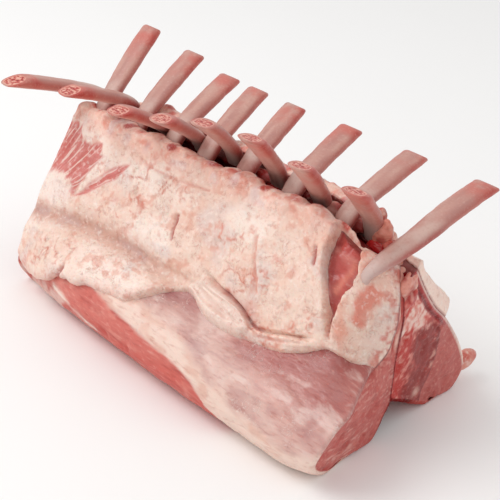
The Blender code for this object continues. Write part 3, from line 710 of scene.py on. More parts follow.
def paint_fat(rack, x, run, place):
    """Colours of the fat cap: cream, peach and grey patches, salmon curls and red places."""
    low = fractal(place, 30, 130, 2)
    mid = fractal(place, 11, 133, 3)
    fine = fractal(place, 4, 136, 3)
    paint = np.broadcast_to(linear("EED1C1"), x.shape + (3,)).copy()
    paint = tint(paint, "E8BBA7", ramp(-0.1, 0.45, mid) * 0.5)
    paint = tint(paint, "F7E5D9", ramp(-0.05, 0.35, low + 0.3 * mid) * 0.85)
    paint = tint(paint, "D6C7C6", ramp(0.2, 0.5, fractal(place, 15, 140, 2)) * 0.35)
    paint = tint(paint, "DE9C86", ramp(0.2, 0.5, fine + 0.5 * mid) * 0.55)
    paint = tint(paint, "CB7460", curls(place, 8, 144, 0.07) * 0.9)
    paint = tint(paint, "D6816D", curls(place, 4.5, 150, 0.11) * 0.8)
    lip = ramp(17, 1, run + 6 * mid)
    paint = tint(paint, "F2BCA9", lip * 0.6)
    paint = tint(paint, "E48E7A", ramp(9, 0, run + 5 * mid) * ramp(0.0, 0.4, fine) * 0.7)
    paint = tint(paint, "C93A2E", ramp(1.5, -3, run + 2 * mid) * ramp(0.2, 0.45, noise(place, 5, 139)) * 0.85)
    paint = tint(paint, "D5BFC2", ramp(12, 4, run) * ramp(0.3, 0.6, noise(place, 7, 138)) * 0.4)
    if not rack.front:
        # painted light: the rear's shoulder-end fat is its own pinkish tone, made paler as well because that side
        # is turned from the lamp
        return tint(paint, "FBDACB", ramp(-94, -101, x) * 0.9)
    for spot, level in LIP_BLOOD:
        near = np.exp(-((x - spot) / 2.6) ** 2 - ((run - level) / 2.4) ** 2)
        paint = tint(paint, "B02A24", ramp(0.25, 0.6, near + 0.35 * fine) * 0.9)
    valley = line_at(VALLEY, np.minimum(x, 0))
    # A darker tan band along the valley: partly the fat's own tan, partly painted shade in the hollow.
    paint = tint(paint, "C48D7A", hump(run, valley, 6.5) * ramp(10, -30, x) * 0.75)
    paint = tint(paint, "C3A39E", hump(run, valley, 3.5) * ramp(-10, -35, x) * ramp(-0.1, 0.3, mid) * 0.6)
    spread = np.hypot(x - FAN[0], run - FAN[1])
    angle = np.arctan2(FAN[1] - run, x - FAN[0])
    rays = np.stack([angle * 26, spread / 24, np.zeros(x.shape)], axis=-1)
    pull = 3.2 * noise(rays * 1.4, 1, 151)
    px, pr = x + pull * np.cos(angle), run - pull * np.sin(angle)
    lobes = np.maximum(patch(px, pr, STRIPES, 1.0), patch(px, pr, STRIPES_LOW, 1.0))
    paint = tint(paint, "D2706A", lobes * 0.92)
    paint = tint(paint, "C65A4E", lobes * ramp(0.0, 0.5, noise(rays * 0.9, 1, 155)) * 0.5)
    paint = tint(paint, "F1DDD3", patch(x, run, ((-122, 40), (-104, 39), (-94, 43), (-91, 50),
                                                 (-103, 55), (-122, 55)), 3) * 0.85)
    for slit in SLITS:
        paint = tint(paint, "BC4A41", stroke(x, run, slit, 0.8) * 0.95)
    paint = tint(paint, "DC9583", stroke(x, run, GROOVE, 1.0) * 0.7)
    paint = tint(paint, "DB9483", stroke(x, run, LONG_CREASE, 0.7) * 0.6)
    crease = line_at(CREASE, np.clip(x, 14, 82))
    flap = patch(x, run, FLAP, 1.0)
    paint = tint(paint, "EED6C9", flap * 0.85)
    # painted shade: a darker line on the flap just below its raised ridge
    paint = tint(paint, "D8A899", flap * stroke(x, run, ((14, 58), (25, 64), (36, 69)), 1.6) * 0.4)
    paint = tint(paint, "B14F48", hump(run, crease - 0.7, 0.8) * ramp(20, 30, x) * ramp(60, 50, x) * 0.95)
    paint = tint(paint, "D79988", hump(run, crease - 0.7, 0.8) * ramp(12, 20, x) * ramp(30, 22, x) * 0.7)
    paint = tint(paint, "DC9080", hump(x, 45, 6) * hump(run, 56, 5) * 0.5)
    paint = tint(paint, "C98072", stroke(x, run, ((50, 65), (57, 66), (65, 63), (72, 58)), 0.7) * 0.6)
    paint = tint(paint, "E8C7B6", patch(x, run, ((86, 46), (90, 28), (98, 20), (112, 24), (112, 50)), 5) * 0.6)
    ragged = 1.6 * noise(place, 3, 158)
    paint = tint(paint, "D9664F", patch(x + ragged, run, ((97, 26), (98, 14), (102, 8), (105, 10),
                                                          (103, 18), (100, 27)), 1.2) * 0.75)
    paint = tint(paint, "E08A70", patch(x, run + ragged, ((89, 36), (93, 26), (97, 30), (94, 42)), 2) * 0.6)
    thin = ramp(7, 1, line_at(FRONT_EDGE, x) - run)
    paint = tint(paint, "D8A598", thin * ramp(0, -20, x) * 0.4)
    paint = tint(paint, "A9514B", stroke(x, run, NOTCH, 1.4) * 0.9)
    paint = tint(paint, "C9705F", stroke(x, run, LEAF_TAIL, 0.8) * 0.8)
    return tint(paint, "CE6D60", ramp(103.5, 106, x + mid) * ramp(-0.1, 0.2, fine) * 0.8)


def make_fat(rack, looks, material):
    """The fat cap of one rack: a thick sheet over the slab with rounded edges.

    Its surface stands off the lean by its thickness, and dives back into the
    lean at its rims and over the bare patch.  A rim is a quarter of an ellipse:
    the square root of 1 minus (1 - distance / width) squared.
    """
    first, last = rack.stations[0] + END_INSET, rack.stations[-1] - END_INSET
    xs = end_rows(first, last, FAT_STEP)
    edge = fat_edge(rack, xs)
    down = np.linspace(0, 1, FAT_POINTS)[None, :]
    spots = np.stack([xs, np.zeros(len(xs)), np.zeros(len(xs))], axis=-1)
    lip = FAT_LIP - 1.2 + 2.6 * fractal(spots, 8, 105, 3)
    if not rack.front:
        lip = lip * (1 - 0.7 * ramp(-84, -98, xs)) + 3.5 * hump(xs, -48, 34) * (0.8 + 0.5 * noise(spots, 9, 107))
    lip = lip[:, None]
    wanted = -lip + down * (edge[:, None] + lip)
    points, normal = rack.skin(rack.outer, xs, wanted)
    x = np.broadcast_to(xs[:, None], wanted.shape)
    place = rack.stand(xs, points)
    fade = (ramp(0, 2.5, xs - first) * ramp(0, 2.5, last - xs))[:, None]
    thick = FAT_THICK - (FAT_THICK - FAT_EDGE) * ramp(0.55, 1.0, down) + 0 * x
    if rack.front:
        thick = thick * (1 - 0.6 * ramp(-80, -100, x) * ramp(66, 84, wanted))
    else:
        strip = 3.0 + 4.6 * ramp(2, 40, wanted)
        thick = thick + (strip - thick) * ramp(-80, -96, x)
    relief = fat_relief(rack, x, wanted, place)
    thick = thick + relief * fade * looks.fat_relief
    rims = ((wanted + lip, 4.5), (edge[:, None] - wanted, 2.6 if rack.front else 5), (xs[:, None] - first + 0 * wanted, 2),
            (last - xs[:, None] + 0 * wanted, 4 if rack.front else 2))
    keep = 1.0
    for distance, width in rims:
        keep = keep * np.sqrt(np.clip(1 - (1 - np.clip(distance / width, 0, 1)) ** 2, 0, 1))
    thick = (thick + FAT_ROOT) * (0.15 + 0.85 * keep) - FAT_ROOT
    if rack.front:
        ragged = 0.7 * noise(place, 4, 160)
        bare = ramp(-1.9, 0.1, edge_distance(x + ragged, wanted + ragged, LEAF))
        thick = thick * (1 - bare) - bare * 1.4
    outer = rack.stand(xs, points + normal * (GAP + thick)[..., None])
    inner = rack.stand(xs, points - normal * FAT_ROOT)
    paint = paint_fat(rack, x, wanted, outer)
    fan = np.stack([np.arctan2(FAN[1] - wanted, x - FAN[0]), np.hypot(x - FAN[0], wanted - FAN[1]),
                    np.maximum(patch(x, wanted, STRIPES, 1.5), patch(x, wanted, STRIPES_LOW, 1.5))], axis=-1)
    fan[..., 2] *= rack.front
    outer = np.concatenate([outer, paint, fan], axis=-1)
    inner = np.concatenate([inner, tint(paint, "8E2A26", np.full(x.shape, 0.9)), fan], axis=-1)
    body, faces, skin_count = ladder_body(outer, inner, FAT_RUNGS)
    masks = {"fan_angle": body[:, 6], "fan_reach": body[:, 7], "striped": body[:, 8]}
    return make_piece(rack.name + "_fat_cover", rack.place(body[:, :3]), faces, body[:, 3:6], masks, material)


# ---- Bones ------------------------------------------------------------------
def bone_path(rack, number):
    """A bone's middle line: up the rib side of the slab, then out to its tip."""
    tip = np.array(rack.tips[number], float)
    bend_x, bend_z = rack.bends[number]
    bend = np.array((bend_x, 0, bend_z), float)
    curve, _ = rack.curves(rack.inner, np.array([bend_x]))
    last = rack.front and number == len(rack.tips) - 1
    keys = []
    for height in (RIB_FOOT, 38, 60, 80, 92):
        out = (LAST_COVER - RIB_COVER) * float(ramp(LAST_DIVE, 93, height)) if last else 0
        side = float(np.interp(height, curve[0, ::-1, 1], curve[0, ::-1, 0])) - RIB_COVER - out
        shift = (tip[0] - bend[0]) * RIB_SPREAD * (height - bend[2]) / (tip[2] - bend[2])
        shift += LAST_STEP if last else 0
        keys.append((bend[0] + shift, side, height))
    far = bend + (tip - bend) * 0.55 + np.array((0, 0, 1.0))
    keys = np.array(keys + [tuple(bend), tuple(far), tuple(tip)])
    curve = blend(keys, np.linspace(0, len(keys) - 1, 200))
    run = np.concatenate([[0], np.cumsum(np.linalg.norm(np.diff(curve, axis=0), axis=1))])
    return curve, run


def make_bone(rack, number, looks, material):
    """One rib bone: a rounded flat section carried along its path, sawn at the tip.

    The section is x = sign(cos a) |cos a| ** 0.8 and the same in y with the sine,
    scaled to the bone's width and thickness.
    """
    curve, run = bone_path(rack, number)
    end = run[-1]
    stops = np.concatenate([np.linspace(0, end - 4, BONE_RINGS - 8), end - 4 + np.linspace(0.5, 4, 8)])
    points = np.stack([np.interp(stops, run, curve[:, k]) for k in range(3)], axis=-1)
    ahead = np.gradient(curve, axis=0)
    ahead /= np.linalg.norm(ahead, axis=1)[:, None]
    tangents = np.stack([np.interp(stops, run, ahead[:, k]) for k in range(3)], axis=-1)
    tangents /= np.linalg.norm(tangents, axis=1)[:, None]
    across = np.array((1.0, 0, 0)) - tangents * tangents[:, :1]
    across /= np.linalg.norm(across, axis=1)[:, None]
    depth = np.cross(tangents, across)
    turns = 2 * math.pi * np.arange(BONE_SIDES) / BONE_SIDES
    flat = np.sign(np.cos(turns)) * np.abs(np.cos(turns)) ** 0.8
    deep = np.sign(np.sin(turns)) * np.abs(np.sin(turns)) ** 0.8
    seed = 200 + number + (20 if rack.front else 0)
    spots = np.stack([stops, np.full(len(stops), 3.0 * number), np.zeros(len(stops))], axis=-1)
    slim = 1 - RIB_SLIM * (1 - ramp(*RIB_WIDENS, stops / end))
    slim = slim * (1 + 0.04 * noise(spots, 12, seed))
    thin = np.ones(len(stops))
    lift_off = rack.front and number == len(rack.tips) - 1
    if lift_off:
        thin = 0.5 + 0.5 * ramp(*LAST_TAPER, stops)
        slim = slim * (LAST_POINT + (1 - LAST_POINT) * ramp(*LAST_TAPER, stops))
    ring = (points[:, None, :] + across[:, None, :] * (flat * RIB_WIDTH / 2)[None, :, None] * slim[:, None, None]
            + depth[:, None, :] * (deep * RIB_THICK / 2)[None, :, None] * thin[:, None, None])
    off = ring - points[:, None, :]
    lumps = 1 + looks.bone_relief * (0.04 * fractal(ring, 6, seed + 3, 2) + 0.02 * noise(ring, 2, seed + 5))
    close = np.clip(1 - (end - stops) / 2.2, 0, 1)[:, None]
    rim = 1 - 0.34 * (1 - np.sqrt(1 - 0.9 * close ** 2))
    ring = points[:, None, :] + off * (lumps * rim)[..., None]
    rise = math.atan2(tangents[-1, 2], tangents[-1, 1])
    tilt = max(math.radians(rack.cut_tilt), math.radians(LEAST_BEVEL) - rise)
    sawn = np.array((0, math.sin(tilt), math.cos(tilt)))
    share = ramp(end - 14, end, stops)[:, None]
    lean = ((ring - points[:, None, :]) @ sawn) / (tangents @ sawn)[:, None]
    ring = ring - (lean * share)[..., None] * tangents[:, None, :]
    whole = np.ones(BONE_SIDES)
    near_tip = ramp(end - 27, end - 4, stops)[:, None] * whole
    root = ramp(end - 34, end - 46, stops)[:, None] * whole
    sides = (np.abs(flat) ** 6)[None, :] * np.ones((len(stops), 1))
    streak = noise(np.stack([stops[:, None] / 16 * whole, 2.6 * flat[None, :] + 0 * stops[:, None],
                             2.6 * deep[None, :] + 0 * stops[:, None]], axis=-1), 1, seed + 8)
    mottle = fractal(ring, 8, seed + 11, 3)
    # painted shade: the rear bones take a greyer, darker copy of the front bones' base, for their side turned
    # from the light
    paint = np.broadcast_to(linear("BF8D82" if rack.front else "BE887C"), ring.shape).copy()
    paint = tint(paint, "D6AFA0", ramp(0.0, 0.6, streak) * 0.4)
    paint = tint(paint, "A9756E", ramp(0.0, 0.6, -streak) * 0.5)
    paint = tint(paint, "C57D72", ramp(0.15, 0.55, mottle) * 0.4)
    paint = tint(paint, "BC6156", sides * 0.7)
    paint = tint(paint, "C8695D", near_tip * ramp(-0.3, 0.4, mottle + 0.3 * sides) * 0.8)
    paint = tint(paint, "B5372F", near_tip * sides * ramp(-0.1, 0.3, mottle) * 0.8)
    paint = tint(paint, "CDB1A6", root * ramp(-0.5, 0.3, mottle) * 0.75)
    paint = tint(paint, "A83C35", root * sides * 0.8)
    if lift_off:
        paint = tint(paint, "CDB5AE", ramp(104, 92, ring[..., 2]) * 0.8)
    centre = ring[-1].mean(axis=0)
    cuts, cut_paint, cut_marrow = [], [], []
    for k in range(1, BONE_CUTS + 1):
        t = k / BONE_CUTS
        level = ring[-1] * (1 - t) + centre * t
        rough = noise(level, 0.9, seed + 16)
        marrow = float(ramp(0.04, 0.14, t))
        level = level - tangents[-1] * (marrow * (0.35 + (0.35 * rough[:, None] if k < BONE_CUTS else 0)))
        cuts.append(level)
        cut_paint.append(np.broadcast_to(linear("E6AC99"), level.shape))
        cut_marrow.append(np.full(BONE_SIDES, float(ramp(0.06, 0.2, t))))
    foot = ring[0].mean(axis=0) + 0 * ring[0]
    rings = np.concatenate([foot[None], ring, np.array(cuts)])
    paint = np.concatenate([paint[:1], paint, np.array(cut_paint)])
    marrow = np.concatenate([np.zeros((len(ring) + 1, BONE_SIDES)), np.array(cut_marrow)])
    body = np.moveaxis(rings, 0, 1)
    faces = quads(BONE_SIDES, rings.shape[0], 0, True)
    return make_piece("%s_bone_%d" % (rack.name, number + 1), rack.place(body), faces,
                      np.moveaxis(paint, 0, 1), {"marrow": marrow.T}, material)


def make_scraps(material):
    """Shreds of meat left between the racks: lumpy ellipsoids joined into one piece."""
    turns = np.linspace(0, 2 * math.pi, 37)[:-1]
    rises = np.linspace(-math.pi / 2, math.pi / 2, 25)
    unit = np.stack([np.cos(rises)[None, :] * np.cos(turns)[:, None],
                     np.cos(rises)[None, :] * np.sin(turns)[:, None],
                     np.sin(rises)[None, :] + 0 * turns[:, None]], axis=-1)
    places, faces, paints = [], [], []
    count = len(turns) * len(rises)
    for number, (middle, radii, colour) in enumerate(SCRAPS):
        points = np.array(middle) + unit * np.array(radii)
        points = points + unit * (1.5 * fractal(points, 6, 320, 3) + 0.5 * noise(points, 2.2, 324))[..., None]
        paint = np.broadcast_to(linear(colour), points.shape).copy()
        paint = tint(paint, "A3201D", ramp(0.0, 0.5, fractal(points, 5, 326, 2)) * 0.7)
        paint = tint(paint, "F0C8B8", ramp(0.1, 0.5, fractal(points, 4, 329, 2)) * 0.7)
        places.append(points)
        paints.append(paint)
        faces.append(quads(len(turns), len(rises), number * count, True))
    wet = np.full(len(SCRAPS) * count, 0.8)
    return make_piece("meat_shreds", FRONT.place(np.array(places)), np.concatenate(faces), np.array(paints),
                      {"wet": wet, "skinned": 0 * wet}, material)


def make_strap(rack, looks, material):
    """The backstrap's cut end: a lumpy ellipsoid."""
    turns = np.linspace(0, 2 * math.pi, 41)[:-1]
    rises = np.linspace(-math.pi / 2, math.pi / 2, 27)
    unit = np.stack([np.cos(rises)[None, :] * np.cos(turns)[:, None],
                     np.cos(rises)[None, :] * np.sin(turns)[:, None],
                     np.sin(rises)[None, :] + 0 * turns[:, None]], axis=-1)
    points = np.array(STRAP_PLACE) + unit * (np.array(STRAP_RADII) - 0.4)
    points = points + unit * (0.5 * fractal(points, 5, 300, 2))[..., None]
    paint = np.broadcast_to(linear("DC8F7E"), points.shape).copy()
    paint = tint(paint, "C95A4C", ramp(-0.1, 0.5, fractal(points, 4, 303, 2)))
    paint = tint(paint, "F0D8CA", ramp(0.15, 0.5, fractal(points, 3, 306, 2)) * 0.6)
    faces = quads(len(turns), len(rises), 0, True)
    return make_piece("rear_backstrap_end", rack.place(points), faces, paint, {}, material)


# ---- Materials ----------------------------------------------------------------
def node(tree, kind, links=(), **settings):
    """Adds a node, sets its fields and sockets, and links its inputs.

    A setting whose name is a number or has capitals is a socket, others are fields.
    """
    made = tree.nodes.new(kind)
    for key, value in settings.items():
        if hasattr(made, key):
            setattr(made, key, value)
        else:
            made.inputs[key.replace("_", " ")].default_value = value
    for socket, source in links:
        tree.links.new(source, made.inputs[socket])
    return made


def new_material(name):
    material = bpy.data.materials.new(name)
    material.use_nodes = True
    tree = material.node_tree
    return material, tree, tree.nodes["Principled BSDF"]


def mottle(tree, place, size, detail=3, distortion=0.0, stretch=(1, 1, 1)):
    """Noise with cells of size mm in Object coordinates, as a value socket."""
    if stretch != (1, 1, 1):
        mapping = node(tree, "ShaderNodeMapping", [("Vector", place)])
        mapping.inputs["Scale"].default_value = stretch
        place = mapping.outputs[0]
    made = node(tree, "ShaderNodeTexNoise", [("Vector", place)], Scale=1 / (size * MM), Detail=detail,
                Distortion=distortion)
    return made.outputs["Fac"]


def between(tree, value, low, high, top=1.0):
    """A value socket turned into 0 below low, top above high and smooth between."""
    made = node(tree, "ShaderNodeMapRange", [("Value", value)], interpolation_type='SMOOTHSTEP',
                From_Min=low, From_Max=high, To_Max=top)
    return made.outputs[0]


def product(tree, first, second):
    return node(tree, "ShaderNodeMath", [(0, first), (1, second)], operation='MULTIPLY').outputs[0]


def thin_lines(tree, place, size, width, distortion):
    """1 on winding lines: where noise comes near its middle value."""
    value = mottle(tree, place, size, 3, distortion)
    off = node(tree, "ShaderNodeMath", [(0, value)], operation='SUBTRACT')
    off.inputs[1].default_value = 0.5
    near = node(tree, "ShaderNodeMath", [(0, off.outputs[0])], operation='ABSOLUTE')
    return node(tree, "ShaderNodeMapRange", [("Value", near.outputs[0])], interpolation_type='SMOOTHSTEP',
                From_Max=width, To_Min=1, To_Max=0).outputs[0]


def mixed(tree, factor, first, colour, blend_type='MIX'):
    """The first colour moved towards a hex colour by a factor socket."""
    made = tree.nodes.new("ShaderNodeMix")
    made.data_type = 'RGBA'
    made.blend_type = blend_type
    tree.links.new(factor, made.inputs[0])
    tree.links.new(first, made.inputs[6])
    made.inputs[7].default_value = (*linear(colour), 1)
    return made.outputs[2]


def bumped(tree, height, strength, distance, normal=None):
    links = [("Height", height)] + ([("Normal", normal)] if normal else [])
    return node(tree, "ShaderNodeBump", links, Strength=strength, Distance=distance * MM).outputs[0]


def soft_inside(shader, weight, red, green, blue):
    """Light spreads red, green and blue mm under the surface."""
    shader.inputs["Subsurface Weight"].default_value = weight
    shader.inputs["Subsurface Radius"].default_value = (red * MM, green * MM, blue * MM)
    shader.inputs["Subsurface Scale"].default_value = 1.0


def fat_material():
    """Firm raw lamb fat: cream and peach, fine salmon creases, a soft moist sheen."""
    material, tree, shader = new_material("raw lamb fat")
    tone = node(tree, "ShaderNodeAttribute", attribute_name="tone").outputs["Color"]
    place = node(tree, "ShaderNodeTexCoord").outputs["Object"]
    where = product(tree, between(tree, mottle(tree, place, 16, 2), 0.45, 0.6),
                    between(tree, mottle(tree, place, 5, 1), 0.45, 0.6))
    lines = product(tree, thin_lines(tree, place, 9, 0.024, 3.0), where)
    curls = product(tree, thin_lines(tree, place, 4.2, 0.04, 2.4),
                    product(tree, between(tree, mottle(tree, place, 11, 2), 0.45, 0.6),
                            between(tree, mottle(tree, place, 3, 1), 0.42, 0.58)))
    colour = mixed(tree, product(tree, lines, between(tree, where, -1, -0.5, 0.5)), tone, "CC7763")
    colour = mixed(tree, product(tree, curls, between(tree, where, -1, -0.5, 0.55)), colour, "D88671")
    colour = mixed(tree, between(tree, mottle(tree, place, 2.4, 3), 0.52, 0.72, 0.4), colour, "FAEBE2")
    colour = mixed(tree, between(tree, mottle(tree, place, 1.6, 3), 0.45, 0.3, 0.3), colour, "D9A08D")
    angle = node(tree, "ShaderNodeAttribute", attribute_name="fan_angle").outputs["Fac"]
    reach = node(tree, "ShaderNodeAttribute", attribute_name="fan_reach").outputs["Fac"]
    striped = node(tree, "ShaderNodeAttribute", attribute_name="striped").outputs["Fac"]
    fan = node(tree, "ShaderNodeCombineXYZ", [("X", angle), ("Y", reach)])
    spread = node(tree, "ShaderNodeMapping", [("Vector", fan.outputs[0])])
    spread.inputs["Scale"].default_value = (34, 0.045, 1)
    fibre = node(tree, "ShaderNodeTexNoise", [("Vector", spread.outputs[0])], Scale=1, Detail=3)
    colour = mixed(tree, product(tree, striped, between(tree, fibre.outputs["Fac"], 0.53, 0.62, 0.85)),
                   colour, "EFCFC4")
    colour = mixed(tree, product(tree, striped, between(tree, fibre.outputs["Fac"], 0.45, 0.3, 0.5)),
                   colour, "BE4E48")
    tree.links.new(colour, shader.inputs["Base Color"])
    shader.inputs["Roughness"].default_value = 0.4
    soft_inside(shader, 0.2, 2.5, 1.0, 0.7)
    normal = bumped(tree, mottle(tree, place, 3.0, 4, 0.6), 0.7, 0.9)
    normal = bumped(tree, mottle(tree, place, 1.1, 3), 0.5, 0.35, normal)
    made = node(tree, "ShaderNodeMath", [(0, lines), (1, curls)], operation='MAXIMUM')
    normal = bumped(tree, made.outputs[0], 0.6, -0.35, normal)
    tree.links.new(normal, shader.inputs["Normal"])
    return material


def lean_material():
    """Raw lamb muscle, partly under silverskin: moist, with fine fibres along the loin."""
    material, tree, shader = new_material("raw lamb muscle")
    tone = node(tree, "ShaderNodeAttribute", attribute_name="tone").outputs["Color"]
    wet = node(tree, "ShaderNodeAttribute", attribute_name="wet").outputs["Fac"]
    skinned = node(tree, "ShaderNodeAttribute", attribute_name="skinned").outputs["Fac"]
    place = node(tree, "ShaderNodeTexCoord").outputs["Object"]
    fibre = mottle(tree, place, 1.7, 4, 0.3, (0.3, 1, 1))
    lines = product(tree, thin_lines(tree, place, 8, 0.016, 2.0),
                    between(tree, mottle(tree, place, 18, 2), 0.5, 0.62))
    film_and_sheen = mottle(tree, place, 9, 4, 0.6, (0.5, 1, 1))
    # whitish film patches are painted sheen on the silverskin; the darker mauve ones are its own blotches
    colour = mixed(tree, product(tree, skinned, between(tree, film_and_sheen, 0.5, 0.66, 0.45)), tone, "EBD3CA")
    colour = mixed(tree, product(tree, skinned, between(tree, film_and_sheen, 0.5, 0.34, 0.45)), colour, "B6827F")
    colour = mixed(tree, between(tree, fibre, 0.55, 0.75, 0.2), colour, "EFCBC0")
    colour = mixed(tree, between(tree, fibre, 0.5, 0.25, 0.35), colour, "C9837B", 'MULTIPLY')
    # painted highlight: thin white crackle lines on the silverskin stand for its crackled wet glints
    colour = mixed(tree, product(tree, skinned, between(tree, lines, 0, 1, 0.6)), colour, "F1DED6")
    spots = between(tree, mottle(tree, place, 1.2, 2), 0.62, 0.72, 0.35)
    colour = mixed(tree, spots, colour, "F3C9BE", 'SOFT_LIGHT')
    tree.links.new(colour, shader.inputs["Base Color"])
    gloss = node(tree, "ShaderNodeMapRange", [("Value", wet)], To_Min=0.55, To_Max=0.28)
    tree.links.new(gloss.outputs[0], shader.inputs["Roughness"])
    shine = node(tree, "ShaderNodeMapRange", [("Value", wet)], From_Max=0.5, To_Min=0.02, To_Max=0.4)
    tree.links.new(shine.outputs[0], shader.inputs["Specular IOR Level"])
    soft_inside(shader, 0.12, 2.5, 0.7, 0.5)
    normal = bumped(tree, mottle(tree, place, 3.5, 4, 0.4, (0.45, 1, 1)), 0.6, 0.7)
    normal = bumped(tree, mottle(tree, place, 1.2, 3, 0, (0.5, 1, 1)), 0.5, 0.3, normal)
    normal = bumped(tree, product(tree, lines, skinned), 0.5, 0.3, normal)
    tree.links.new(normal, shader.inputs["Normal"])
    return material


def bone_material():
    """Scraped rib bone: dense, pinkish tan, a dull sheen and fine scratches."""
    material, tree, shader = new_material("scraped rib bone")
    tone = node(tree, "ShaderNodeAttribute", attribute_name="tone").outputs["Color"]
    place = node(tree, "ShaderNodeTexCoord").outputs["Object"]
    specks = mottle(tree, place, 1.3, 3)
    colour = mixed(tree, between(tree, specks, 0.52, 0.75, 0.2), tone, "DDBBAF")
    colour = mixed(tree, between(tree, specks, 0.45, 0.3, 0.25), colour, "B77A70")
    marrow = node(tree, "ShaderNodeAttribute", attribute_name="marrow").outputs["Fac"]
    sponge = mottle(tree, place, 1.5, 2)
    colour = mixed(tree, product(tree, marrow, between(tree, sponge, 0.60, 0.46)), colour, "C04A42")
    colour = mixed(tree, product(tree, marrow, between(tree, sponge, 0.42, 0.36)), colour, "96302C")
    tree.links.new(colour, shader.inputs["Base Color"])
    shader.inputs["Roughness"].default_value = 0.42
    shader.inputs["Specular IOR Level"].default_value = 0.35
    soft_inside(shader, 0.08, 1.5, 0.8, 0.6)
    normal = bumped(tree, specks, 0.35, 0.3)
    normal = bumped(tree, mottle(tree, place, 4, 2), 0.4, 0.4, normal)
    tree.links.new(normal, shader.inputs["Normal"])
    return material


def floor_material():
    """A matt white paper sweep."""
    material, tree, shader = new_material("white paper")
    place = node(tree, "ShaderNodeTexCoord").outputs["Object"]
    grain = node(tree, "ShaderNodeTexNoise", [("Vector", place)], Scale=9, Detail=2)
    shade = node(tree, "ShaderNodeMapRange", [("Value", grain.outputs["Fac"])], To_Max=0.15)
    base = node(tree, "ShaderNodeRGB")
    base.outputs[0].default_value = (*linear("FBFAF9"), 1)
    tree.links.new(mixed(tree, shade.outputs[0], base.outputs[0], "F4F2F0"), shader.inputs["Base Color"])
    shader.inputs["Roughness"].default_value = 0.9
    return material


# ---- Settings and operators ---------------------------------------------------
class LambLooks(bpy.types.PropertyGroup):
    """Sizes and strengths that a user would change."""
    fat_relief: bpy.props.FloatProperty(
        name="Fat relief", description="Height of the lumps and folds on the fat caps, as a share",
        default=1.0, min=0, max=2, subtype='FACTOR')
    lean_relief: bpy.props.FloatProperty(
        name="Lean relief", description="Height of the swells on the lean meat, as a share",
        default=1.0, min=0, max=2, subtype='FACTOR')
    bone_relief: bpy.props.FloatProperty(
        name="Bone relief", description="Unevenness of the bones, as a share",
        default=1.0, min=0, max=2, subtype='FACTOR')
    floor_size: bpy.props.FloatProperty(
        name="Floor size", description="Side of the square floor",
        default=18.0, min=1, max=40, unit='LENGTH')
    key_power: bpy.props.FloatProperty(
        name="Key light", description="Power of the large soft light at the upper left, in watts",
        default=7.8, min=0, max=200)
    sky: bpy.props.FloatProperty(
        name="Sky", description="Strength of the white surroundings",
        default=0.77, min=0, max=10)


class LAMB_OT_lean(bpy.types.Operator):
    """Makes the lean meat of both racks"""
    bl_idname = "lamb.lean"
    bl_label = "Lean meat"

    def execute(self, context):
        material = lean_material()
        for rack in (FRONT, REAR):
            piece = make_lean(rack, context.scene.lamb_looks, material)
            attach(piece, "root")
            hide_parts(rack.name + "_lean")
        piece = make_scraps(material)
        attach(piece, "root")
        return {'FINISHED'}


class LAMB_OT_fat(bpy.types.Operator):
    """Makes the fat caps of both racks and the end of the backstrap"""
    bl_idname = "lamb.fat"
    bl_label = "Fat caps"

    def execute(self, context):
        material = fat_material()
        for rack in (FRONT, REAR):
            piece = make_fat(rack, context.scene.lamb_looks, material)
            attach(piece, "root")
            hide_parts(rack.name + "_fat")
        piece = make_strap(REAR, context.scene.lamb_looks, material)
        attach(piece, "root")
        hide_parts("rear_backstrap")
        return {'FINISHED'}


class LAMB_OT_bones(bpy.types.Operator):
    """Makes the rib bones of both racks"""
    bl_idname = "lamb.bones"
    bl_label = "Rib bones"

    def execute(self, context):
        material = bone_material()
        for rack in (FRONT, REAR):
            for number in range(len(rack.tips)):
                piece = make_bone(rack, number, context.scene.lamb_looks, material)
                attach(piece, "root")
                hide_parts("%s_rib_%d" % (rack.name, number + 1))
        return {'FINISHED'}


def soft_light(name, place, target, size, power):
    """A square area light that faces its target."""
    lamp = bpy.data.lights.new(name, 'AREA')
    lamp.size = size
    lamp.energy = power
    holder = bpy.data.objects.new(name, lamp)
    holder.location = place
    holder.rotation_euler = (Vector(target) - Vector(place)).to_track_quat('-Z', 'Y').to_euler()
    bpy.context.scene.collection.objects.link(holder)


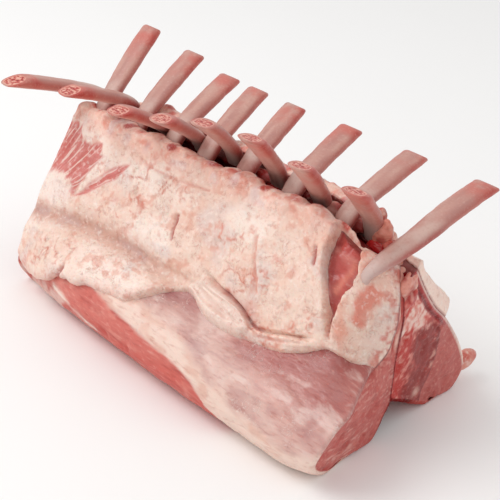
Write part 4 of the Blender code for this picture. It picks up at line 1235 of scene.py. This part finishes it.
class LAMB_OT_stage(bpy.types.Operator):
    """Sets the floor, the soft studio light and the camera"""
    bl_idname = "lamb.stage"
    bl_label = "Stage"

    def execute(self, context):
        looks = context.scene.lamb_looks
        half = looks.floor_size / 2
        mesh = bpy.data.meshes.new("floor")
        mesh.from_pydata([(-half, -half, 0), (half, -half, 0), (half, half, 0), (-half, half, 0)], [],
                         [(0, 1, 2, 3)])
        mesh.materials.append(floor_material())
        floor = bpy.data.objects.new("floor", mesh)
        context.scene.collection.objects.link(floor)
        world = bpy.data.worlds.new("studio")
        world.use_nodes = True
        world.node_tree.nodes["Background"].inputs["Color"].default_value = (1, 1, 1, 1)
        world.node_tree.nodes["Background"].inputs["Strength"].default_value = looks.sky
        context.scene.world = world
        soft_light("key", (-0.6, -0.7, 1.1), (0, 0, 0.05), 0.8, looks.key_power)
        lens = bpy.data.cameras.new("camera")
        lens.lens = CAMERA_LENS
        lens.clip_start = 0.01
        camera = bpy.data.objects.new("camera", lens)
        turn, rise, roll = CAMERA_TURN, CAMERA_RISE, CAMERA_ROLL
        back = Vector((math.sin(turn) * math.cos(rise), -math.cos(turn) * math.cos(rise), math.sin(rise)))
        right = Vector((math.cos(turn), math.sin(turn), 0))
        up = back.cross(right)
        sideways = right * math.cos(roll) - up * math.sin(roll)
        upwards = right * math.sin(roll) + up * math.cos(roll)
        matrix = Matrix((sideways, upwards, back)).transposed().to_4x4()
        matrix.translation = CAMERA_PLACE
        camera.matrix_world = matrix
        context.scene.collection.objects.link(camera)
        context.scene.camera = camera
        context.scene.view_settings.view_transform = 'Standard'
        return {'FINISHED'}


CAMERA_PLACE = (0.3363, -0.3986, 0.3203)
CAMERA_LENS = 78.85
CAMERA_TURN = 0.69241
CAMERA_RISE = 0.47635
CAMERA_ROLL = -0.13963


class LAMB_PT_panel(bpy.types.Panel):
    """Lists the makers in the 3D view's sidebar"""
    bl_idname = "LAMB_PT_panel"
    bl_label = "Rack of lamb"
    bl_space_type = 'VIEW_3D'
    bl_region_type = 'UI'
    bl_category = "Lamb"

    def draw(self, context):
        looks = context.scene.lamb_looks
        for key in ("fat_relief", "lean_relief", "bone_relief", "floor_size", "key_power", "sky"):
            self.layout.prop(looks, key)
        for maker in (LAMB_OT_stage, LAMB_OT_lean, LAMB_OT_fat, LAMB_OT_bones):
            self.layout.operator(maker.bl_idname)


CLASSES = (LambLooks, LAMB_OT_lean, LAMB_OT_fat, LAMB_OT_bones, LAMB_OT_stage, LAMB_PT_panel)


def register():
    for item in CLASSES:
        bpy.utils.register_class(item)
    bpy.types.Scene.lamb_looks = bpy.props.PointerProperty(type=LambLooks)


def unregister():
    del bpy.types.Scene.lamb_looks
    for item in reversed(CLASSES):
        bpy.utils.unregister_class(item)


def main():
    register()
    bpy.ops.lamb.stage()
    bpy.ops.lamb.lean()
    bpy.ops.lamb.fat()
    bpy.ops.lamb.bones()


if __name__ == "__main__":
    main()
